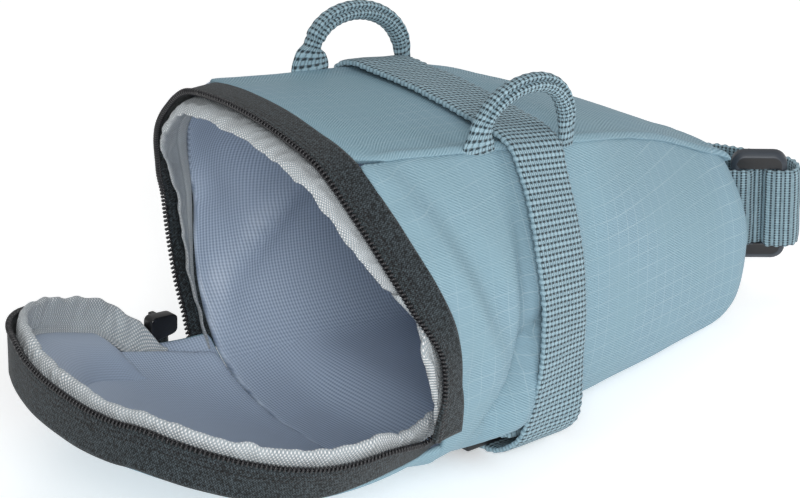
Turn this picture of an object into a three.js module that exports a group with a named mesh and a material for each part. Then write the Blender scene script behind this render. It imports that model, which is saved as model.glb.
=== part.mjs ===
// Bicycle saddle bag, open, lying on its underside. Millimetres, +Z up, nose towards +X.
// The origin is on the floor, under the middle of the front half of the underside.
import * as THREE from "three";

// Driving dimensions
const CLOTH = 1.6; // coated cloth with its thin foam backing
const LINING = 1.0;
const TAPE = { wide: 8.5, thick: 1.0 }; // visible half of the zip's woven tape
const BINDING = { thick: 1.2, behind: 1.9 }; // woven edge tape behind the zip tape
const COIL_RADIUS = 0.9;
const WEB = { wide: 20, main: 17.6, thick: 1.5 }; // webbing; main: the main strap's, which is narrower
const GAP = 0.35; // clearance between pieces that are sewn or rest together
const STRAP_X = -30; // middle of the main strap at the far ridge
const STRAP_SKEW = -3.2; // how far towards the tail it runs on the near side and underneath
const RIM_X = -85; // mouth of the bag at the top seam
// Where the nose rounds off, and by how much.
const NOSE = { start: 41, round: 13, narrow: 11, drop: 20, rise: 10 };
const STAND_OFF = { side: 0.4, ridge: 0.75 }; // extra room under the strap, more where it folds over a ridge
const WAIST = { lift: 6.9, half: 13.5, fade: 11 }; // how the strap draws the underside in
const SEAM = { sink: 0.7, reach: 0.1, gap: 1.15 }; // how the top panel's edges roll into their seams

// Cross-sections from the mouth to the nose. ridge: half-width at the top seam; top: height of that seam;
// crown: rise of the top panel; side: greatest half-width; sideZ: its height;
// base: half-width of the flat underside; full: how square the lower corner is.
const SECTIONS = [
  { x: -85, ridge: 28.6, top: 87.4, crown: 3.6, side: 53.5, sideZ: 45, base: 16, full: 0.8 },
  { x: -60, ridge: 29, top: 82.6, crown: 2.6, side: 48, sideZ: 41, base: 15, full: 0.74 },
  { x: -30, ridge: 29.3, top: 76.6, crown: 2.0, side: 40.5, sideZ: 35, base: 14, full: 0.68 },
  { x: -12, ridge: 28, top: 73, crown: 1.6, side: 36.5, sideZ: 33, base: 13, full: 0.68 },
  { x: 5, ridge: 20.6, top: 66, crown: 1.6, side: 32, sideZ: 31, base: 12, full: 0.68 },
  { x: 22, ridge: 14.2, top: 59, crown: 1.6, side: 27, sideZ: 29, base: 11, full: 0.68 },
  { x: 42, ridge: 9.5, top: 48, crown: 1.0, side: 20, sideZ: 26, base: 9, full: 0.68 },
];

// The mouth's edge seen from the side: it leans, with its top furthest back.
const MOUTH = [
  { z: 0, x: -72 },
  { z: 18, x: -71 },
  { z: 47, x: -70 },
  { z: 74, x: -78.5 },
  { z: 94, x: -83.5 },
];
const MOUTH_SKEW = 0.07; // the mouth also sits a little askew, its far side further forward

// Soft folds of the sides. x, z: middle; angle: run in degrees from +X; long, wide: reach;
// out: height, dents negative.
const FOLDS = [
  { x: -56, z: 56, angle: -62, long: 22, wide: 9, out: 1.6 },
  { x: -48, z: 38, angle: 52, long: 14, wide: 5, out: -1.6 },
  { x: -54, z: 27, angle: 52, long: 9, wide: 6, out: 1.4 },
  { x: -10, z: 58, angle: -30, long: 14, wide: 6, out: 0.9 },
];

// The lid's middle line from its hinge to its tip. run: distance along the cloth; pitch: rise in degrees;
// roll: twist in degrees, far side up; half: half-width; cup: how far the edges turn up.
const LID = [
  { run: 0, pitch: 9, roll: -4, half: 45.5, cup: 14 },
  { run: 14, pitch: 15, roll: -3.5, half: 48, cup: 12 },
  { run: 28, pitch: 19, roll: -2, half: 49.5, cup: 9.5 },
  { run: 44, pitch: 22, roll: 1, half: 48, cup: 7 },
  { run: 58, pitch: 24.5, roll: 3, half: 43, cup: 5.5 },
  { run: 70, pitch: 26, roll: 4, half: 34, cup: 4 },
  { run: 77, pitch: 27, roll: 4.5, half: 24, cup: 3 },
];
const LID_BOW = 3; // how far the middle of the lid's tip stands beyond its corners
const HINGE = { near: 0.5, far: 0.45 }; // where the zip ends on the mouth, as shares of the half-outline
const LID_LEAN = 25; // how far the lid's zip tape leans out, in degrees
// How the tape narrows and stops at the hinge.
const ZIP_END = { share: 0.45, reach: 0.12, clear: 0.03, near: 8, far: 18 };
const PEEK = { top: 5.5, side: 1.5, lid: 6 }; // how far the binding stands beyond the coil
const TURN_IN = { top: 6, side: 30 }; // how far the mouth's tape turns in, in degrees

// Rail loops. nose: place of the foot at the nose's side; shift: how far the apex sits towards the nose;
// tall: height of its middle; lean: outwards at the apex.
const LOOPS = [
  { name: "rail_loop_near", side: -1, nose: 9.7, shift: 1.6, tall: 14.7, lean: 1.5 },
  { name: "rail_loop_far", side: 1, nose: 11.4, shift: -1.2, tall: 14.5, lean: 0.5 },
];
const LOOP = { tail: -17.4, tailFoot: 5, noseFoot: 2.2, radius: 2.4, flare: 7 };

// Ladder-lock buckle of the main strap, flat on the floor under the near side, its bars laid out along Y.
const BUCKLE = { half: 13, slot: 10.6, low: 2.15, thick: 2.4, near: -27, bar: 3, gap: 5 };

const SLIDER = { run: 12, long: 8, tall: 6.5, thick: 3.2 };

// Slide on the nose strap, upright in front of the nose. turn: its heading in plan, in degrees;
// bar, mid: widths of its outer bars and its middle bar.
const SLIDE = {
  x: 65.6, y: -4.6, z: 25, turn: -40.7, wide: 13.8, bar: 2.2, mid: 1.2, tall: 27.5, slot: 21.2, thick: 2.2,
};

const COLOURS = {
  cloth: [0x8fabb8, 0.7],
  lining: [0x8d94a3, 0.5],
  tape: [0x3c3c42, 0.85],
  coil: [0x17171a, 0.4],
  binding: [0xb9c0c1, 0.9],
  webbing: [0x8ba3aa, 0.85],
  plastic: [0x3b3d45, 0.45],
};

const V = (x, y, z) => new THREE.Vector3(x, y, z);
const lerp = THREE.MathUtils.lerp;
const rad = THREE.MathUtils.degToRad;
const smooth = (t) => THREE.MathUtils.smoothstep(t, 0, 1);
const steps = (n, from = 0, to = 1) => Array.from({ length: n + 1 }, (_, i) => lerp(from, to, i / n));

// A row of a table at a value of its key column, by a smooth curve through the rows.
function rowAt(table, key, value) {
  const last = table.length - 1;
  let i = 0;
  while (i < last - 1 && value > table[i + 1][key]) i++;
  const [p, q] = [table[i], table[i + 1]];
  const [before, after] = [table[Math.max(i - 1, 0)], table[Math.min(i + 2, last)]];
  const span = q[key] - p[key];
  const t = THREE.MathUtils.clamp((value - p[key]) / span, 0, 1);
  const row = { [key]: value };
  for (const name of Object.keys(p)) {
    if (name === key) continue;
    const leave = (span * (q[name] - before[name])) / (q[key] - before[key]);
    const arrive = (span * (after[name] - p[name])) / (after[key] - p[key]);
    const [t2, t3] = [t * t, t * t * t];
    const blend = 3 * t2 - 2 * t3;
    row[name] = lerp(p[name], q[name], blend) + (t3 - 2 * t2 + t) * leave + (t3 - t2) * arrive;
  }
  return row;
}

const bezier = (a, b, c, d, t) => new THREE.CubicBezierCurve(a, b, c, d).getPoint(t);
const P2 = (y, z) => new THREE.Vector2(y, z);

// The body's section at x, taken in by inset all round.
function section(x, inset) {
  const row = rowAt(SECTIONS, "x", x);
  return {
    ...row,
    ridge: row.ridge - inset,
    top: row.top - inset,
    side: row.side - inset,
    base: row.base - 0.6 * inset,
    floor: inset,
  };
}

// Height of the underside where the strap and its buckle draw it up, rounded into the height z that it had.
function drawnUp(x, z, wall) {
  const off = Math.max(0, Math.abs(x - STRAP_X - STRAP_SKEW) - WAIST.half) / WAIST.fade;
  const share = 1 - smooth(Math.min(off, 1));
  const lift = share * WAIST.lift + wall;
  return (z + lift + Math.sqrt((z - lift) ** 2 + (2 * share) ** 2)) / 2;
}

// How far the folds push a point of the side out. The strap holds the cloth flat under it.
function foldOut(x, z) {
  let out = 0;
  const offStrap = Math.abs(x - STRAP_X - STRAP_SKEW) - WEB.wide / 2 - 4;
  const clear = smooth(THREE.MathUtils.clamp(offStrap / 6, 0, 1));
  for (const fold of FOLDS) {
    const [c, s] = [Math.cos(rad(fold.angle)), Math.sin(rad(fold.angle))];
    const along = ((x - fold.x) * c + (z - fold.z) * s) / fold.long;
    const across = ((z - fold.z) * c - (x - fold.x) * s) / fold.wide;
    out += clear * fold.out * Math.exp(-along * along - across * across);
  }
  return out;
}

const SIDE_SHARE = 0.4; // share of the half-outline from the ridge to the widest point
const CORNER_SHARE = 0.74; // and from the ridge to the flat underside

// Half of the wrap's outline, from the ridge at b = 0 to the middle of the underside at b = 1.
function wrapHalf(s, b) {
  if (b <= SIDE_SHARE) {
    const drop = s.top - s.sideZ;
    return bezier(
      P2(s.ridge, s.top),
      P2(lerp(s.ridge, s.side, 0.55), s.top - 0.26 * drop),
      P2(s.side, s.sideZ + 0.45 * drop),
      P2(s.side, s.sideZ),
      b / SIDE_SHARE,
    );
  }
  if (b <= CORNER_SHARE) {
    const drop = s.sideZ - s.floor;
    return bezier(
      P2(s.side, s.sideZ),
      P2(s.side, s.sideZ - s.full * drop),
      P2(lerp(s.base, s.side, 0.57), s.floor + 0.07 * drop),
      P2(s.base, s.floor),
      (b - SIDE_SHARE) / (CORNER_SHARE - SIDE_SHARE),
    );
  }
  return P2(s.base * (1 - (b - CORNER_SHARE) / (1 - CORNER_SHARE)), s.floor);
}

// Stations along the body: {x, inset, shrink} for the straight run, the rounded nose and its flat front.
function station(u) {
  if (u <= 1) return { x: lerp(RIM_X, NOSE.start, u), inset: 0, shrink: 1, u };
  if (u <= 2) {
    const turn = ((u - 1) * Math.PI) / 2;
    const inset = NOSE.round * (1 - Math.cos(turn));
    return { x: NOSE.start + NOSE.round * Math.sin(turn), inset, shrink: 1, u: 1 };
  }
  return { x: NOSE.start + NOSE.round, inset: NOSE.round, shrink: 3 - u, u: 1 };
}

// A point of the body from its outline point (y, z), with the mouth's lean worked in near the opening.
function place(st, y, z, wall) {
  const lean = (rowAt(MOUTH, "z", z).x - RIM_X + MOUTH_SKEW * y) * Math.pow(1 - st.u, 3.2);
  return V(st.x + lean - wall * smooth((st.x - NOSE.start) / NOSE.round), y, z);
}

// A point of the wrap: b runs from the near ridge (-1) round the underside (0) to the far ridge (+1).
function wrapPoint(u, b, wall) {
  const st = station(u);
  const s = section(Math.min(st.x, NOSE.start), 0);
  const p = wrapHalf(section(Math.min(st.x, NOSE.start), wall), 1 - Math.abs(b));
  const middle = lerp(s.floor, s.top, 0.45);
  const taken = insetPoint(p, s, st, middle);
  const onSide = smooth(Math.abs(b) / 0.25) * smooth((1 - Math.abs(b)) / 0.08);
  const at = place(st, Math.sign(b) * taken.x, taken.y, wall);
  if (st.shrink === 1) at.y += Math.sign(b) * foldOut(at.x, at.z) * onSide * (1 - st.inset / NOSE.round);
  at.z = drawnUp(at.x, at.z, wall);
  return at;
}

// Takes an outline point in towards the section's middle, for the rounded nose and its front.
function insetPoint(p, s, st, middle) {
  const turn = st.inset / NOSE.round;
  const keep = (1 - (turn * NOSE.narrow) / s.side) * st.shrink;
  const rise = p.y - middle;
  const tall = rise > 0 ? (turn * NOSE.drop) / (s.top - middle) : (turn * NOSE.rise) / (middle - s.floor);
  return P2(p.x * keep, middle + rise * (1 - tall) * st.shrink);
}

// A point of the top panel: a runs from the near seam (-1) to the far seam (+1).
function topPoint(u, a, wall, gap = 0) {
  const st = station(u);
  const x = Math.min(st.x, NOSE.start);
  const s = section(x, 0);
  const t = section(x, wall);
  const edge = THREE.MathUtils.clamp((Math.abs(a) - 1 + SEAM.reach) / SEAM.reach, 0, 1);
  const p = P2(Math.abs(a) * (t.ridge - gap), t.top + s.crown * (1 - a * a) - SEAM.sink * edge * edge);
  const taken = insetPoint(p, s, st, lerp(s.floor, s.top, 0.45));
  return place(st, Math.sign(a) * taken.x, taken.y, wall);
}

// A closed wall from matching outer and inner points and the polygons that join them.
// Open edges get a side wall.
function thicken(outer, inner, polygons) {
  const n = outer.length;
  const index = [];
  const edges = new Map();
  const fan = (ids) => {
    for (let i = 1; i + 1 < ids.length; i++) index.push(ids[0], ids[i], ids[i + 1]);
  };
  for (const ids of polygons) {
    fan(ids);
    fan(ids.map((i) => i + n).reverse());
    ids.forEach((a, i) => edges.set(a + ">" + ids[(i + 1) % ids.length], [a, ids[(i + 1) % ids.length]]));
  }
  for (const [a, b] of edges.values()) if (!edges.has(b + ">" + a)) fan([b, a, a + n, b + n]);
  return indexed([...outer, ...inner], index);
}

// A closed surface from points and triangles, turned so that its faces point outwards.
function indexed(points, index) {
  let volume = 0;
  for (let i = 0; i < index.length; i += 3) {
    const [a, b, c] = [points[index[i]], points[index[i + 1]], points[index[i + 2]]];
    volume += a.dot(b.clone().cross(c));
  }
  if (volume < 0) index.reverse();
  const geometry = new THREE.BufferGeometry().setFromPoints(points);
  geometry.setIndex(index);
  geometry.computeVertexNormals();
  return geometry;
}

// A wall from two matching grids of points, rows by columns.
function gridWall(outer, inner) {
  const columns = outer[0].length;
  const polygons = [];
  for (let i = 0; i + 1 < outer.length; i++)
    for (let j = 0; j + 1 < columns; j++) {
      const a = i * columns + j;
      polygons.push([a, a + 1, a + columns + 1, a + columns]);
    }
  return thicken(outer.flat(), inner.flat(), polygons);
}

// A solid swept through rings of points, with flat ends.
function ringSolid(rings) {
  const n = rings[0].length;
  const index = [];
  for (let i = 0; i + 1 < rings.length; i++)
    for (let j = 0; j < n; j++) {
      const [a, b] = [i * n + j, i * n + ((j + 1) % n)];
      index.push(a, b, b + n, a, b + n, a + n);
    }
  const last = (rings.length - 1) * n;
  for (let j = 1; j + 1 < n; j++) index.push(0, j + 1, j, last, last + j, last + j + 1);
  return indexed(rings.flat(), index);
}

function piece(name, geometry, finish) {
  const [color, roughness] = COLOURS[finish];
  const mesh = new THREE.Mesh(geometry, new THREE.MeshStandardMaterial({ color, roughness, metalness: 0 }));
  mesh.name = name;
  return mesh;
}

const TOP_END = 1.45; // station where the top panel meets the nose
const bag = new THREE.Group();

// Body: one cloth round the sides, underside and nose
function bodyWrap() {
  const us = [...steps(18), ...steps(5, 1, 2).slice(1), 2.5, 2.85];
  us.splice(us.findIndex((u) => u > TOP_END), 0, TOP_END);
  const bs = [...steps(15, -1 + 0.004, 0), ...steps(15, 0, 1 - 0.004).slice(1)];
  const as = steps(8, 1, -1).slice(1, -1);
  const ring = (u, wall) => [
    ...bs.map((b) => wrapPoint(u, b, wall)),
    ...(u >= TOP_END ? as.map((a) => topPoint(u, a, wall)) : as.map(() => V(0, 0, 0))),
  ];
  const outer = us.map((u) => ring(u, 0));
  const inner = us.map((u) => ring(u, CLOTH));
  const n = outer[0].length;
  const polygons = [];
  for (let i = 0; i + 1 < us.length; i++)
    for (let j = 0; j < n; j++) {
      if (j >= bs.length - 1 && us[i] < TOP_END) continue;
      const k = (j + 1) % n;
      polygons.push([i * n + j, i * n + k, (i + 1) * n + k, (i + 1) * n + j]);
    }
  const last = (us.length - 1) * n;
  polygons.push(steps(n - 1, 0, n - 1).map((j) => last + j));
  return thicken(outer.flat(), inner.flat(), polygons);
}

// Top panel, a tongue between the two ridge seams
function topPanel() {
  const us = [...steps(12, 0, 1), 1.22, TOP_END - 0.05];
  const as = [-1, -0.96, -0.9, ...steps(8, -0.74, 0.74), 0.9, 0.96, 1];
  const grid = (wall) => us.map((u) => as.map((a) => topPoint(u, a, wall, SEAM.gap)));
  return gridWall(grid(0), grid(CLOTH));
}

// The surface u at which a line of the body reaches a given x.
function bodyAtX(point, x) {
  let [low, high] = [0, 1.9];
  for (let i = 0; i < 40; i++) {
    const u = (low + high) / 2;
    if (point(u).x < x) low = u;
    else high = u;
  }
  return point((low + high) / 2);
}

// Edge of the mouth from the near hinge over the top to the far hinge, with the cloth's own directions:
// on runs on along the cloth towards the tail, out points away from the inside.
function mouthEdge(count) {
  const wrapLine = (b) => (u) => wrapPoint(u, b, CLOTH / 2);
  const lines = [
    ...steps(count, -HINGE.near - ZIP_END.clear, -1).slice(0, -1).map(wrapLine),
    ...steps(count, -0.97, 0.97).map((a) => (u) => topPoint(u, a, CLOTH / 2)),
    ...steps(count, 1, HINGE.far + ZIP_END.clear).slice(1).map(wrapLine),
  ];
  const edge = new THREE.CatmullRomCurve3(lines.map((line) => line(0)), false, "centripetal");
  const tail = new THREE.CatmullRomCurve3(lines.map((line) => line(0.05)), false, "centripetal");
  return steps(3 * count).map((t) => {
    const at = edge.getPoint(t);
    const on = at.clone().sub(tail.getPoint(t)).normalize();
    const run = edge.getTangent(t);
    const out = V(0, 0, 0).crossVectors(run, on).normalize();
    const level = Math.abs(out.z);
    const end = fromEnds(t, 0.2);
    const turn = rad(lerp(TURN_IN.side * end, TURN_IN.top, smooth(level)));
    const lay = on.clone().multiplyScalar(Math.cos(turn)).addScaledVector(out, -Math.sin(turn));
    const face = V(0, 0, 0).crossVectors(run, lay).normalize();
    return { at, lay, face, wide: tapeWide(t), peek: end * lerp(PEEK.side, PEEK.top, smooth(level)) };
  });
}

// Rows of points along an edge, at distances along its tape and off its face.
const offset = (e, reach, off) => e.at.clone().addScaledVector(e.lay, reach).addScaledVector(e.face, off);
const offsets = (edge, along, off) => along.map((reach) => edge.map((e) => offset(e, reach(e), off)));

// Width of the tape at share t of its length: it narrows towards both ends, where the two halves meet.
const fromEnds = (t, reach) => smooth(Math.min(1, Math.min(t, 1 - t) / reach));
const tapeWide = (t) => TAPE.wide * lerp(ZIP_END.share, 1, fromEnds(t, ZIP_END.reach));

// The woven tape of one half of the zip, its row of coil teeth, and the binding behind both.
function zipHalf(name, edge, start) {
  const across = steps(3).map((share) => (e) => lerp(start, e.wide, share));
  const tape = gridWall(offsets(edge, across, -TAPE.thick / 2), offsets(edge, across, TAPE.thick / 2));
  const [line] = offsets(edge, [(e) => e.wide + GAP + COIL_RADIUS + 0.25], 0);
  const path = new THREE.CatmullRomCurve3(line, false, "centripetal");
  const dot = new THREE.Shape().absarc(0, 0, COIL_RADIUS, 0, 2 * Math.PI);
  const options = { steps: edge.length + 8, curveSegments: 3, bevelEnabled: false, extrudePath: path };
  const coil = new THREE.ExtrudeGeometry(dot, options);
  const rows = steps(2).map((share) => (e) => lerp(start + 0.8, e.wide + e.peek, share));
  const low = -BINDING.behind - BINDING.thick / 2;
  const binding = gridWall(offsets(edge, rows, low), offsets(edge, rows, low + BINDING.thick));
  bag.add(piece(name + "_zip_tape", tape, "tape"));
  bag.add(piece(name + "_zip_coil", coil, "coil"));
  bag.add(piece(name + "_binding", binding, "binding"));
}

// The lid's frame at a distance along its middle line: its point, and its across and up directions.
function lidFrame(run) {
  const at = V(wrapPoint(0, 0, 0).x - GAP, 0, CLOTH / 2 + 0.02);
  const parts = 40;
  for (let i = 0; i < parts; i++) {
    const pitch = rad(rowAt(LID, "run", (run * (i + 0.5)) / parts).pitch);
    at.add(V((-Math.cos(pitch) * run) / parts, 0, (Math.sin(pitch) * run) / parts));
  }
  const row = rowAt(LID, "run", run);
  const [pitch, roll] = [rad(row.pitch), rad(row.roll)];
  const up = V(Math.sin(pitch), 0, Math.cos(pitch));
  const across = V(0, Math.cos(roll), 0).addScaledVector(up, Math.sin(roll));
  return { at, across, row, up: V(0, -Math.sin(roll), 0).addScaledVector(up, Math.cos(roll)) };
}

// A point of the lid: w runs across from the near edge (-1) to the far edge (+1),
// rise lifts it off the middle of the cloth.
function lidPoint(run, w, rise) {
  const last = LID[LID.length - 1].run;
  const frame = lidFrame(run + LID_BOW * (1 - w * w) * Math.pow(run / last, 6));
  const { half, cup } = rowAt(LID, "run", run);
  const hinge = wrapPoint(0, w * (w < 0 ? HINGE.near : HINGE.far), CLOTH / 2 + rise);
  const lift = cup * Math.pow(Math.abs(w), 2.6) + rise;
  const p = frame.at.clone().addScaledVector(frame.across, w * half).addScaledVector(frame.up, lift);
  const start = V(hinge.x - GAP, hinge.y, hinge.z);
  const free = smooth(run / 16);
  const held = start.addScaledVector(V(-1, 0, 0), run * (1 - 0.4 * free));
  return held.lerp(p, free);
}

const lidRuns = [...steps(9, 0, 60), 65, 69.5, 73.5, 77];
const lidWs = [...steps(9, -1, -0.1), ...steps(9, 0.1, 1)];

const LINING_LOW = CLOTH / 2 + GAP + 0.5; // underside of the lining, from the middle of the lid's cloth

function lidSheet(low, high, shrink) {
  const runs = lidRuns.map((r) => r * shrink + (1 - shrink) * 20);
  const grid = (rise) => runs.map((run) => lidWs.map((w) => lidPoint(run, w * shrink, rise)));
  return gridWall(grid(low), grid(high));
}

// Edge of the lid from its near hinge round the tip to its far hinge.
function lidEdge(count) {
  const last = lidRuns[lidRuns.length - 1];
  const spots = [
    ...steps(count, ZIP_END.near, last).slice(0, -1).map((run) => [run, -1]),
    ...steps(10, -1, 1).map((w) => [last, w]),
    ...steps(count, last, ZIP_END.far).slice(1).map((run) => [run, 1]),
  ];
  const path = new THREE.CatmullRomCurve3(spots.map(([run, w]) => lidPoint(run, w, 0)), false, "centripetal");
  const ups = new THREE.CatmullRomCurve3(spots.map(([run]) => lidFrame(run).up), false, "centripetal");
  return steps(36).map((t) => {
    const at = path.getPoint(t);
    const run = path.getTangent(t);
    const up = ups.getPoint(t).normalize();
    const out = V(0, 0, 0).crossVectors(up, run).normalize();
    const lay = up.multiplyScalar(Math.cos(rad(LID_LEAN))).addScaledVector(out, Math.sin(rad(LID_LEAN)));
    const face = V(0, 0, 0).crossVectors(lay, run).normalize();
    const end = fromEnds(t, ZIP_END.reach);
    return { at, lay, face, wide: tapeWide(t), peek: end * PEEK.lid };
  });
}

// A ribbon of webbing: rows of matching centre points, one row for each place across its width.
function ribbon(rows, thick) {
  const side = (sign) => rows.map((row, i) => row.map((p, j) => {
    const along = row[Math.min(j + 1, row.length - 1)].clone().sub(row[Math.max(j - 1, 0)]);
    const across = rows[rows.length - 1][j].clone().sub(rows[0][j]);
    return p.clone().addScaledVector(V(0, 0, 0).crossVectors(across, along).normalize(), (sign * thick) / 2);
  }));
  return gridWall(side(1), side(-1));
}

// Points of a smooth line through the given ones: closest where the given ones are, or evenly spaced.
const curve = (points) => new THREE.CatmullRomCurve3(points, false, "centripetal");
const through = (points, count) => curve(points).getPoints(count);
const evenly = (points, count) => curve(points).getSpacedPoints(count);

// The main strap's line round the body at one place across it, clear of the cloth by the gap.
function strapLine(across) {
  const off = GAP + WEB.thick / 2;
  const spot = (skew, fold, point) => ({ skew, lift: fold ? STAND_OFF.ridge : STAND_OFF.side, point });
  const wrap = (b, skew) => spot(skew, Math.abs(b) > 0.95, (u) => wrapPoint(u, b, 0));
  const top = (a) => spot(0.35 - 0.35 * a, Math.abs(a) > 0.8, (u) => topPoint(u, a, 0));
  const lines = [
    ...steps(8, -0.55, -0.985).map((b) => wrap(b, lerp(0.7, 1, smooth((0.985 + b) / 0.3)))),
    ...steps(6, -0.86, 0.86).map(top),
    ...steps(10, 0.985, 0.3).map((b) => wrap(b, smooth((0.985 - b) / 0.685))),
  ];
  const skin = lines.map(({ skew, point }) => bodyAtX(point, STRAP_X + across + skew * STRAP_SKEW));
  const round = skin.map((p, i) => {
    const run = skin[Math.min(i + 1, skin.length - 1)].clone().sub(skin[Math.max(i - 1, 0)]);
    return p.clone().addScaledVector(V(0, run.z, -run.y).normalize(), -(off + lines[i].lift));
  });
  const { near, bar, gap, low, thick } = BUCKLE;
  const [under, over] = [low - off, low + thick + off];
  const turn = near + bar + off + 0.1;
  const fixed = [
    [near - 8, over + 1.9], [near - 3, over + 0.3], [near + bar - 0.4, over + 0.05],
    [near + bar + 0.75, over - 0.25], [turn, over - 1], [turn + 0.1, low + thick / 2], [turn, under + 1],
    [near + bar + 0.75, under + 0.25], [near + bar - 0.4, under], [near - 2, under + 0.3],
    [near - 7.5, under + 3.1], [near - 12, under + 7.8],
  ];
  const back = near + bar + gap - off - 0.1;
  const free = [
    [6, over + 0.3], [back + 4, over], [back + 0.6, over + 0.05], [back + 0.1, over - 1],
    [back, low + thick / 2], [back + 0.1, under + 1], [back + 0.6, under], [back + 4, under],
    [3, under], [13, under],
  ];
  const flat = (list) => list.map(([y, z]) => V(STRAP_X + STRAP_SKEW + across, y, z));
  return [...flat(fixed), ...round, ...flat(free)];
}

function mainStrap() {
  const half = WEB.main / 2;
  return ribbon(steps(4, -half, half).map((across) => through(strapLine(across), 132)), WEB.thick);
}

// A plate with straight slots through it, drawn flat and given its thickness.
function slottedPlate(wide, tall, slots, thick) {
  const shape = new THREE.Shape();
  const [w, h, r] = [wide / 2, tall / 2, 2];
  shape.moveTo(-w + r, -h).lineTo(w - r, -h).quadraticCurveTo(w, -h, w, -h + r).lineTo(w, h - r);
  shape.quadraticCurveTo(w, h, w - r, h).lineTo(-w + r, h).quadraticCurveTo(-w, h, -w, h - r);
  shape.lineTo(-w, -h + r).quadraticCurveTo(-w, -h, -w + r, -h);
  for (const [x, y, half, rise] of slots) {
    const hole = new THREE.Path().moveTo(x - half, y - rise).lineTo(x - half, y + rise);
    shape.holes.push(hole.lineTo(x + half, y + rise).lineTo(x + half, y - rise));
  }
  return new THREE.ExtrudeGeometry(shape, { depth: thick, bevelEnabled: false, curveSegments: 4 });
}

function strapBuckle() {
  const { half, slot, low, thick, near, bar, gap } = BUCKLE;
  const long = 3 * bar + 2 * gap;
  const place = (bar + gap) / 2;
  const plate = slottedPlate(2 * half, long, [[0, -place, slot, gap / 2], [0, place, slot, gap / 2]], thick);
  return plate.translate(STRAP_X + STRAP_SKEW, near + long / 2, low);
}

// A rail loop: webbing rolled into a cord, its two ends flattened where they are sewn into the ridge seam.
function railLoop({ side, nose, shift, tall, lean }) {
  const ridge = (x) => bodyAtX((u) => topPoint(u, side, 0), x);
  const [a, b] = [ridge(STRAP_X + LOOP.tail), ridge(STRAP_X + nose)];
  const spots = steps(30).map((t) => {
    const rise = Math.pow(Math.sin(Math.PI * t), 0.8);
    const x = lerp(a.x, b.x, 0.5 - 0.5 * Math.cos(Math.PI * t)) + shift * Math.sin(Math.PI * t) ** 2;
    const base = lerp(a.z, b.z, t) + 1.65;
    return V(x, lerp(a.y, b.y, t) + side * lean * rise, base + tall * rise);
  });
  const path = evenly(spots, 40);
  const total = path.length - 1;
  return ringSolid(path.map((p, i) => {
    const run = path[Math.min(i + 1, total)].clone().sub(path[Math.max(i - 1, 0)]).normalize();
    const flat = V(0, 0, 0).crossVectors(V(0, 1, 0), run).normalize();
    const toEnd = Math.min(i, total - i) / LOOP.flare;
    const foot = i < total / 2 ? LOOP.tailFoot : LOOP.noseFoot;
    const round = smooth(Math.min(1, toEnd));
    const [wide, deep] = [lerp(foot, LOOP.radius, Math.sqrt(round)), lerp(WEB.thick / 2, LOOP.radius, round)];
    return steps(9).slice(0, -1).map((t) => {
      const turn = 2 * Math.PI * t;
      const ring = p.clone().addScaledVector(flat, wide * Math.cos(turn));
      return ring.addScaledVector(V(0, 1, 0), deep * Math.sin(turn));
    });
  }));
}

// The nose strap's line in plan: from the nose over the slide's outer bar, round its middle bar and over its
// other outer bar, then back to the nose's far side.
function noseStrap() {
  const { x, y, z, turn, wide, bar, mid, thick } = SLIDE;
  const off = GAP + WEB.thick / 2;
  const [front, behind] = [-thick / 2 - off, thick / 2 + off];
  const [outer, inner] = [(wide - bar) / 2, mid / 2 + off];
  const into = [
    [-outer, front], [-3.9, front], [-2.5, front + 0.42],
    [-inner, -0.55], [-inner, 0.6], [-1.38, behind - 0.38],
  ];
  const outOf = into.map(([along, deep]) => [-along, deep]).reverse();
  const threaded = [
    [-12.2, front], [-9, front], ...into, [0, behind], ...outOf, [8.2, front + 0.35], [9.7, 0.6],
  ];
  const angle = THREE.MathUtils.degToRad(turn);
  const [c, s] = [Math.cos(angle), Math.sin(angle)];
  const line = [
    ...threaded.map(([along, deep]) => [x + along * c - deep * s, y + along * s + deep * c]),
    [75.2, -6.6], [74.6, -2.6], [72.6, 1.4], [69.4, 8], [66, 13.6], [60, 17], [55.4, 17.4], [52.2, 17.2],
  ];
  const row = (h) => through(line.map(([px, py]) => V(px, py, h)), 96);
  return ribbon(steps(2, z - WEB.wide / 2, z + WEB.wide / 2).map(row), WEB.thick);
}

function noseSlide() {
  const { x, y, z, turn, wide, bar, mid, tall, slot, thick } = SLIDE;
  const gap = (wide - mid) / 2 - bar;
  const place = (mid + gap) / 2;
  const slots = [[-place, 0, gap / 2, slot / 2], [place, 0, gap / 2, slot / 2 - 0.1]];
  const plate = slottedPlate(wide, tall, slots, thick).rotateX(Math.PI / 2).translate(0, thick / 2, 0);
  return plate.rotateZ(THREE.MathUtils.degToRad(turn)).translate(x, y, z);
}

// The slider, parked beside the zip's end at the far side of the hinge.
function zipSlider() {
  const at = lidPoint(SLIDER.run, 1, 0);
  const { up } = lidFrame(SLIDER.run);
  const block = slottedPlate(SLIDER.long, SLIDER.tall, [], SLIDER.thick).rotateX(Math.PI / 2);
  const lift = CLOTH / 2 + GAP + 0.4 + SLIDER.tall / 2;
  const middle = at.addScaledVector(up, lift);
  return block.translate(middle.x, middle.y + SLIDER.thick / 2, middle.z);
}

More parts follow.
